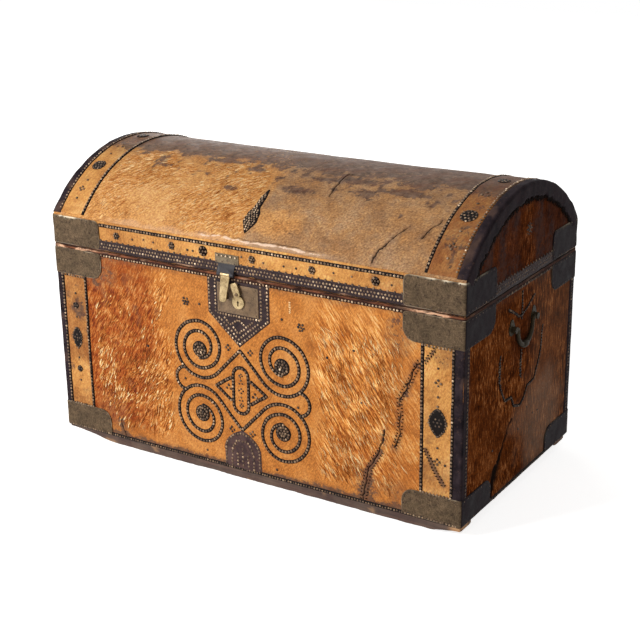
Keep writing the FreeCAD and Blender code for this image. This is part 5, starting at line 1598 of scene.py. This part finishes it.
body_patches = [lozenge("lozenge", front_face, centre, *halves, 2.6, 1.75)
                for *centre, halves in ((-408, 199, (12, 22)), (403.5, 192, (16.5, 26)), (-407, 267, (7, 7)),
                                        (-408, 132, (7, 7)))]
lid_patches = [lozenge("rosette", dome_face, on_dome(*centre), *halves, 2.9, 2.0)
               for *centre, halves in ((-409, -27, (15, 14)), (403.5, -26.3, (16, 15)),
                                       (405, -0.4, (11, 13)), (-409, 0, (12, 14)),
                                       (-409, 27, (14, 14)), (403.5, 27, (15, 14)))]
band_patches = [lozenge("band_rosette", front_face, (u, 426), half, half, 1.2, 2.0)
                for u, half in ((-291, 6.5), (-158, 7), (-85, 10), (24, 7), (152, 7), (280, 8.5))]
piece, share, v = sheet("seam_patch", np.linspace(-1, 1, 12), soft_steps(mend_low, mend_high, 3))
u = -1 + share * seam_width(v)
move_points(piece, dome_face(u, v, 1.2 + rolled((1 - np.abs(share)) * seam_width(v), 1.2)))
apply_modifier(piece, "SOLIDIFY", thickness=patch_thickness * mm, offset=-1.0)
lid_patches.append(piece)
leather_group("body_lozenges", body_patches, dark_leather, "chest_body")
leather_group("lid_rosettes", lid_patches, dark_leather, "lid")
leather_group("band_rosettes", band_patches, brown_leather, "lid")

# %% [markdown]
# The front has the most nails. Its rows run along the rim and the foot, on the ribbons of the
# ornament, down the shield and round the foot patch, and up both sides of the tan strips. The
# flowers are small figures that sit on the bare hide between them.

# %% Nails on the front of the box
on_hide, on_ribbon, on_strip, on_plate = 0.2, 1.0, 1.9, 2.3
rim_row, row_half, end_row_half = 381.8, 331, 118
ornament = [spaced(path, pitch) for path in ornament_lines] + [spaced(capsule, pitch, True)]
discs = [np.vstack([rosette(u, v, 6.0, 6), rosette(u, v, 12.2, 13)[:-1]]) for u, v in disc_spots]
shield_rows = [row((-74, 376), (-74, 312), (-9, 257), (56, 312), (56, 376)), row((-60, 376), (-60, 315)),
               row((42, 376), (42, 315)), row((-55, 312), (37, 312), gap=6),
               row((-52, 304), (-9, 268), (34, 304)),
               row((-40, 305), (-27, 294), (-9, 306), (9, 294), (22, 305), gap=6),
               row((-20, 289), (-9, 279), (2, 289), gap=6)]
foot_rows = [outline_row(foot_width, 8, foot_top - 2, ornament_x),
             outline_row(lambda v: 0.62 * foot_width(v + 12), 8, foot_top - 20, ornament_x, 1)]
foot_rows += [row((ornament_x + du, 12), (ornament_x + du, top), gap=8)
              for du, top in ((0, 46), (-12, 34), (12, 34))]
flowers = [rosette(-131, 321.6), rosette(126.5, 314), diamond(-35.6, 246.7), diamond(14.4, 245),
           diamond(-32.9, 82), diamond(14.4, 82), triangle(-37, 168), triangle(22, 161),
           np.array([(-99.3, 321.6), (86, 322.7), (-140, 164), (118, 158), (-94.4, 25), (67.3, 21),
                     (-228, 214), (236, 292), (252, 196), (180, 268)])]
heart = [figure(ornament_x, scroll_middle + rise, size)
         for figure, rise, size in ((diamond, 0, 4.6), (triangle, 17, 3.6), (triangle, -17, 3.6),
                                    (diamond, 30, 3.4), (diamond, -30, 3.4))]
strip_low, strip_high = 55, 329
strip_nails = [row((u, strip_low), (u, strip_high)) for u in strip_columns]
strip_nails += [row((low, v), (high, v)) for low, high in ((-430, -385), (378, 425))
                for v in (strip_low, strip_high)]
loose = ([(403.5, v) for v in (292, 239, 222, 145)]
         + [(419, 115), (-406, 292), (-407, 243), (-408, 156), (-408, 108)])
strip_figures = [outline_row(lambda v: 13 * (1 - (abs(v - 199) / 24) ** 1.7), 177, 221, -408, 1, 5.6),
                 outline_row(lambda v: 18 * (1 - (abs(v - 192) / 28) ** 1.7), 166, 218, 403.5, 1, 5.6),
                 rosette(403.5, 192, 7, 6), rosette(-408, 199, 6, 4), rosette(-407, 267, 4.6, 4),
                 rosette(-408, 132, 4.6, 4), diamond(403.5, 265), diamond(403.5, 119), np.array(loose)]
front_groups = nails(front_face, 1.6, 2.15, 0.62, level_row(row_half, rim_row))
front_groups += nails(front_face, 1.2, 1.9, 0.36, level_row(row_half, foot_row, 5.8))
front_groups += nails(front_face, on_plate, 1.9, 0.45,
                      *[row((side * 336, 4.2), (side * 442, 4.2), gap=6) for side in (-1, 1)])
for lift, radius, pale, figures in ((on_ribbon, 2.5, 0.4, ornament), (on_ribbon, 2.3, 0.42, foot_rows),
                                    (on_ribbon, 2.3, 0.6, shield_rows), (1.2, 2.7, 0.34, discs),
                                    (on_hide, 2.5, 0.16, flowers), (on_hide, 1.9, 0.2, heart),
                                    (on_strip, 2.3, 0.42, strip_nails), (1.6, 2.3, 0.25, strip_figures)):
    front_groups += nails(front_face, lift, radius, pale, *figures)
drive_nails("front_body_nails", "chest_body", front_groups, "body_nails")

# %% [markdown]
# The end carries a drawn figure as well: a stem with wings over the handle, and below it two long
# curling arrows that meet. The same figure is used on both ends. Rows follow the corner leather.

# %% Nails on the ends and the back of the box
end_lines = (((-7.7, 372), (-7.7, 320)),
             ((-65, 353), (-44, 341), (-19, 326), (-8, 326), (16, 334), (46, 351)),
             ((-94, 274), (-94, 224), (-84, 202), (-69, 180), (-42, 178), (-31, 158), (-4, 149), (15, 160),
              (27, 178), (42, 179), (58, 181), (73, 208), (85, 231), (88, 278)), ((-5, 258), (-5, 206)))
end_ribbons, end_groups = [], []
arrow_fill = ((-98, 226, 262), (-9, 212, 240), (84, 240, 268))
lone = np.array([(-115, 101), (-8, 103), (28, 135), (80, 110), (58, 112)])
for face in (right_face, left_face):
    end_ribbons += [ribbon("arrow", face, line, 5.6, 0.9, False, 1.0) for line in end_lines]
    end_groups += nails(face, 0.7, 1.9, 0.12, *[spaced(line, 5.6) for line in end_lines])
    fill = [row((u, low), (u, high), gap=5.4) for u, low, high in arrow_fill]
    end_groups += nails(face, 0.4, 1.8, 0.12, *fill)
    end_groups += nails(face, 1.0, 2.2, 0.2, *[row((u, 56), (u, strip_high)) for u in (-224, 224)])
    end_groups += nails(face, 1.6, 2.2, 0.18, level_row(end_row_half, rim_row))
    end_groups += nails(face, 1.2, 2.0, 0.2, level_row(end_row_half, foot_row))
    end_groups += nails(face, 0.2, 2.2, 0.1, lone)
hinge_spots = [(side * 250 + across, rise) for side in (-1, 1) for across in (-9, 9) for rise in (15.4, 35.2)]
back_groups = nails(back_face, 1.6, 2.3, 0.6, level_row(row_half, rim_row))
back_groups += nails(back_face, 1.2, 2.2, 0.4, level_row(row_half, foot_row))
back_groups += nails(back_face, 1.0, 2.3, 0.4,
                     *[row((side * 440, 56), (side * 440, strip_high)) for side in (-1, 1)])
back_groups += nails(back_face, 2.0, 2.6, 0.4, np.array([(u, body_top - rise) for u, rise in hinge_spots]))
leather_group("end_figure_leather", end_ribbons, black_leather, "chest_body")
drive_nails("end_body_nails", "chest_body", end_groups)
drive_nails("back_body_nails", "chest_body", back_groups)

# %% [markdown]
# The lid has rows along the band, two columns over each end of the dome, rosettes between them,
# and its lower edge carries a double row with a scalloped third one above.

# %% Nails on the lid
lid_groups, lid_row = [], 399
for face in (front_face, back_face):
    lid_groups += nails(face, 1.0, 2.3, 0.55, level_row(row_half, band_row))
    lid_groups += nails(face, 0.8, 2.2, 0.56, level_row(row_half, lid_row))
    lid_groups += nails(face, 0.8, 2.2, 0.5, level_row(row_half - 3.5, 405.4))
    lid_groups += nails(face, 0.2, 2.3, 0.3, level_row(row_half, 412.4, 2 * pitch))
band_rosettes = [rosette(u, 426, size)
                 for u, size in ((-291, 5.4), (-158, 5.4), (-85, 7), (24, 5.4), (152, 5.4), (280, 6.2))]
band_loose = [(u, 425.5 + 2.5 * math.sin(u))
              for u in (-252, -225, -201, -121, -108, 1, 49, 92, 119, 196, 233, 312)]
lid_groups += nails(front_face, 1.0, 2.3, 0.36, *band_rosettes)
lid_groups += nails(front_face, 0.2, 2.2, 0.2, np.array(band_loose))
arch_row = 0.945 * dome_edge
for u, lift in [(u, 1.6) for u in dome_columns] + [(-434.5, 2.3), (429.5, 2.3)]:
    lid_groups += nails(dome_face, lift, 2.2, 0.5, row((u, -arch_row), (u, 0), (u, arch_row)))
dome_figures = [rosette(*on_dome(-409, -27), 7, 6), rosette(*on_dome(-409, -27), 12, 11)[:-1],
                diamond(*on_dome(-409, -39.2)), rosette(*on_dome(403.5, -26.3), 7.5, 6),
                rosette(*on_dome(403.5, -26.3), 13.5, 12)[:-1], diamond(*on_dome(403.5, -39.5), 5.5),
                triangle(*on_dome(404, -13.6), 6), rosette(*on_dome(405, -0.4), 8, 8),
                rosette(*on_dome(-409, 0), 9, 8), rosette(*on_dome(-409, 27), 8, 7),
                rosette(*on_dome(403.5, 27), 8, 7), diamond(*on_dome(-409, 39)), diamond(*on_dome(403.5, 39)),
                triangle(*on_dome(-409, -13), 6),
                np.array([on_dome(-408, t) for t in (-35.1, -43.5, -19.5, 19.5, 35, 43)]
                         + [on_dome(404, t) for t in (-33.4, -43.9, -19.7, 19.5, 35, 43)])]
lid_groups += nails(dome_face, 2.0, 2.3, 0.35, *dome_figures)
lid_groups += nails(dome_face, 1.1, 2.0, 0.55, filled(seam_width, mend_low, mend_high, -1, 5.4))
lid_groups += nails(back_face, 2.0, 2.6, 0.4, np.array([(u, body_top + rise) for u, rise in hinge_spots]))
lid_groups += nails(front_face, 3.2, 2.0, 0.8, row((-51, 424.6), (-11, 424.6), gap=10))
drive_nails("lid_nail_heads", "lid", lid_groups, "lid_nails")

lid_end_groups = []
for face in (right_face, left_face):
    lid_end_groups += nails(face, 0.8, 2.2, 0.16, level_row(end_row_half, lid_row), level_row(115, 405))
    lid_end_groups += nails(face, 0.3, 2.1, 0.15, level_row(end_row_half, 413.5, 12))
    lid_end_groups += nails(face, 0.5, 1.8, 0.15, level_row(112, 410, 12))
    lid_end_groups += nails(face, 0.4, 2.1, 0.1, rosette(11.5, 482, 5.2, 6))
    lid_end_groups += nails(face, 0.4, 1.8, 0.1, rosette(11.5, 482, 10.4, 8)[:-1])
drive_nails("lid_end_nails", "lid", lid_end_groups)

# %% [markdown]
# The plates are held by small pins set a little in from their edges, about thirteen apart.

# %% Pins of the corner plates
def plate_pins(place, low, high, low_round, high_round):
    spots = []
    for side in (-1, 1):
        reach = np.linspace(9, plate_leg - 3.6, 40)
        over = [(side * s, high - rounding(s + 3, high_round) - 3.6) for s in reach]
        under = [(side * s, low + rounding(s + 3, low_round) + 3.6) for s in reach[::-1]]
        spots.append(spaced(over + under, 13))
    return np.concatenate(spots) + (place, 0)


pins = {"chest_body": [], "lid": []}
for place in corners.values():
    for kind, span in plate_spans.items():
        pins[plate_bodies[kind]] += nails(around, on_plate, 1.4, 0.12, plate_pins(place, *span))
drive_nails("body_plate_pins", "chest_body", pins["chest_body"])
drive_nails("lid_plate_pins", "lid", pins["lid"])

# %% [markdown]
# Lock, hasp, hinges and handles come from the model. Their own shapes are right, but every edge is
# knife sharp. A copy is merged, its flat faces are joined again, and a small bevel rounds the
# edges, so that they catch the light as filed metal does.

# %% Metal with eased edges
def eased(node, body, slot, finish, width):
    """Bevelled copy of a model piece."""
    source = bpy.data.objects[node]
    piece = source.copy()
    piece.data = source.data.copy()
    piece.name = "eased_" + node.removeprefix("hinge_")
    scene.collection.objects.link(piece)
    piece.parent = None
    take_up(piece)
    mode("EDIT")
    bpy.ops.mesh.select_all(action="SELECT")
    bpy.ops.mesh.remove_doubles(threshold=0.00001)
    bpy.ops.mesh.dissolve_limited(angle_limit=math.radians(3))
    mode("OBJECT")
    apply_modifier(piece, "BEVEL", width=width * mm, segments=2, limit_method="ANGLE",
                   angle_limit=math.radians(38))
    piece.data.materials.clear()
    smooth(piece, 35)
    seat(piece, finish, body, slot, node)
    print(piece.name, len(piece.data.polygons), "faces")
    return piece


for fitting in (("lock_plate", "chest_body", "lock_brass", lock_brass, 0.35),
                ("keyhole_disc", "chest_body", "lock_brass", hasp_brass, 0.5),
                ("keyhole_cover", "keyhole_cover", "lock_brass", hasp_brass, 0.7),
                ("cover_rivet", "chest_body", "lock_brass", lock_brass, 0.2),
                ("hasp_plate", "lid", "plate_brass", hasp_plate_brass, 0.35),
                ("hasp", "hasp", "hasp_brass", hasp_brass, 0.5),
                ("hinge_lower_leaves", "chest_body", "lock_iron", lock_iron, 0.3),
                ("hinge_upper_leaves", "lid", "lock_iron", lock_iron, 0.3)):
    eased(*fitting)

for side in ("right", "left"):
    piece = eased(side + "_bail", side + "_handle", "handle_brass", handle_brass, 0.4)
    spots, outward = points_of(piece), np.empty(len(piece.data.vertices) * 3)
    piece.data.vertices.foreach_get("normal", outward)
    middle, half = np.mean([spots[:, 1].min(), spots[:, 1].max()]), np.ptp(spots[:, 1]) / 2
    fuller = 1.5 * mm * step_up(np.abs(spots[:, 1] - middle) / half, 0.95, 0.25)
    move_points(piece, spots + outward.reshape(-1, 3) * fuller[:, None])

model_finishes = {
    lock_iron: ("lock_case", "lock_bolt", "hasp_pin", "hinge_pins"),
    handle_brass: ("handle_roses",),
    long_wood: ("front_board", "back_board", "bottom_board", "lid_front_rail", "lid_back_rail", "lid_staves"),
    cross_wood: ("left_end_board", "right_end_board", "lid_left_arch", "lid_right_arch")}
for finish, nodes in model_finishes.items():
    for node in nodes:
        bpy.data.objects[node].material_slots[0].material = finish
print("metal done")

# %% [markdown]
# The runners are plain battens that have been dragged over floors: their lower edges are rounded
# and splintered, and both ends are worn away underneath. A cube is stretched to each batten's
# size, cut into many slices, and its points are then worn down by noise.

# %% Runners
def runner(name, node, finish, left_wear, right_wear, seed):
    low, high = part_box(node)
    start_clean()
    bpy.ops.mesh.primitive_cube_add(size=2)
    piece = bpy.context.object
    piece.name = name
    mode("EDIT")
    bpy.ops.mesh.subdivide(number_cuts=5)
    mode("OBJECT")
    cube = points_of(piece)
    size = np.array([(high[i] - low[i]) / mm for i in range(3)])
    move_points(piece, (cube + 1) / 2 * size)
    take_up(piece)
    block = size[0] / 6
    for cut in steps(block / 26, size[0] - block / 26, 6.5):
        if abs(cut / block - round(cut / block)) > 0.01:
            mode("EDIT")
            bpy.ops.mesh.select_all(action="SELECT")
            bpy.ops.mesh.bisect(plane_co=(cut, 0, 0), plane_no=(1, 0, 0))
            mode("OBJECT")
    x, y, z = points_of(piece).T
    across, under = np.minimum(y, size[1] - y), z
    worn = 2.2 * patches(x, y * 0.3, 60, seed, -0.2, 0.9) + 0.8 * np.abs(cloud(x, z, 9, seed + 1, 2))
    corner_cut = np.maximum(0, 3.0 - across - under) * 0.6
    ends = left_wear * step_up(x, 125, 5) + right_wear * step_up(x, size[0] - 65, size[0] - 3)
    share = 1 - z / size[2]
    z = z + share * (worn * (x > 3) + corner_cut + ends)
    nibbled = 0.9 * np.abs(cloud(x, z, 24, seed + 2, 3)) + 0.7 * corner_cut
    y = y + np.sign(size[1] / 2 - y) * nibbled * (across < 4)
    move_points(piece, np.stack([x, y, z], axis=-1) * mm + np.array(low))
    raw = np.maximum(step_up(x, size[0] - 26, size[0] - 10) * patches(y, z, 9, seed + 3, -0.5, 0.2, 2),
                     0.5 * patches(x, z, 26, seed + 4, 0.62, 0.8))
    paint(piece, x, y, wear=raw)
    smooth(piece, 32)
    seat(piece, finish, "chest_body", "runner_wood", node)
    print(name, len(piece.data.polygons), "faces")


runner("front_runner_worn", "front_runner", runner_wood, 15, 9, 181)
runner("rear_runner_worn", "rear_runner", black_wood, 15, 9, 187)
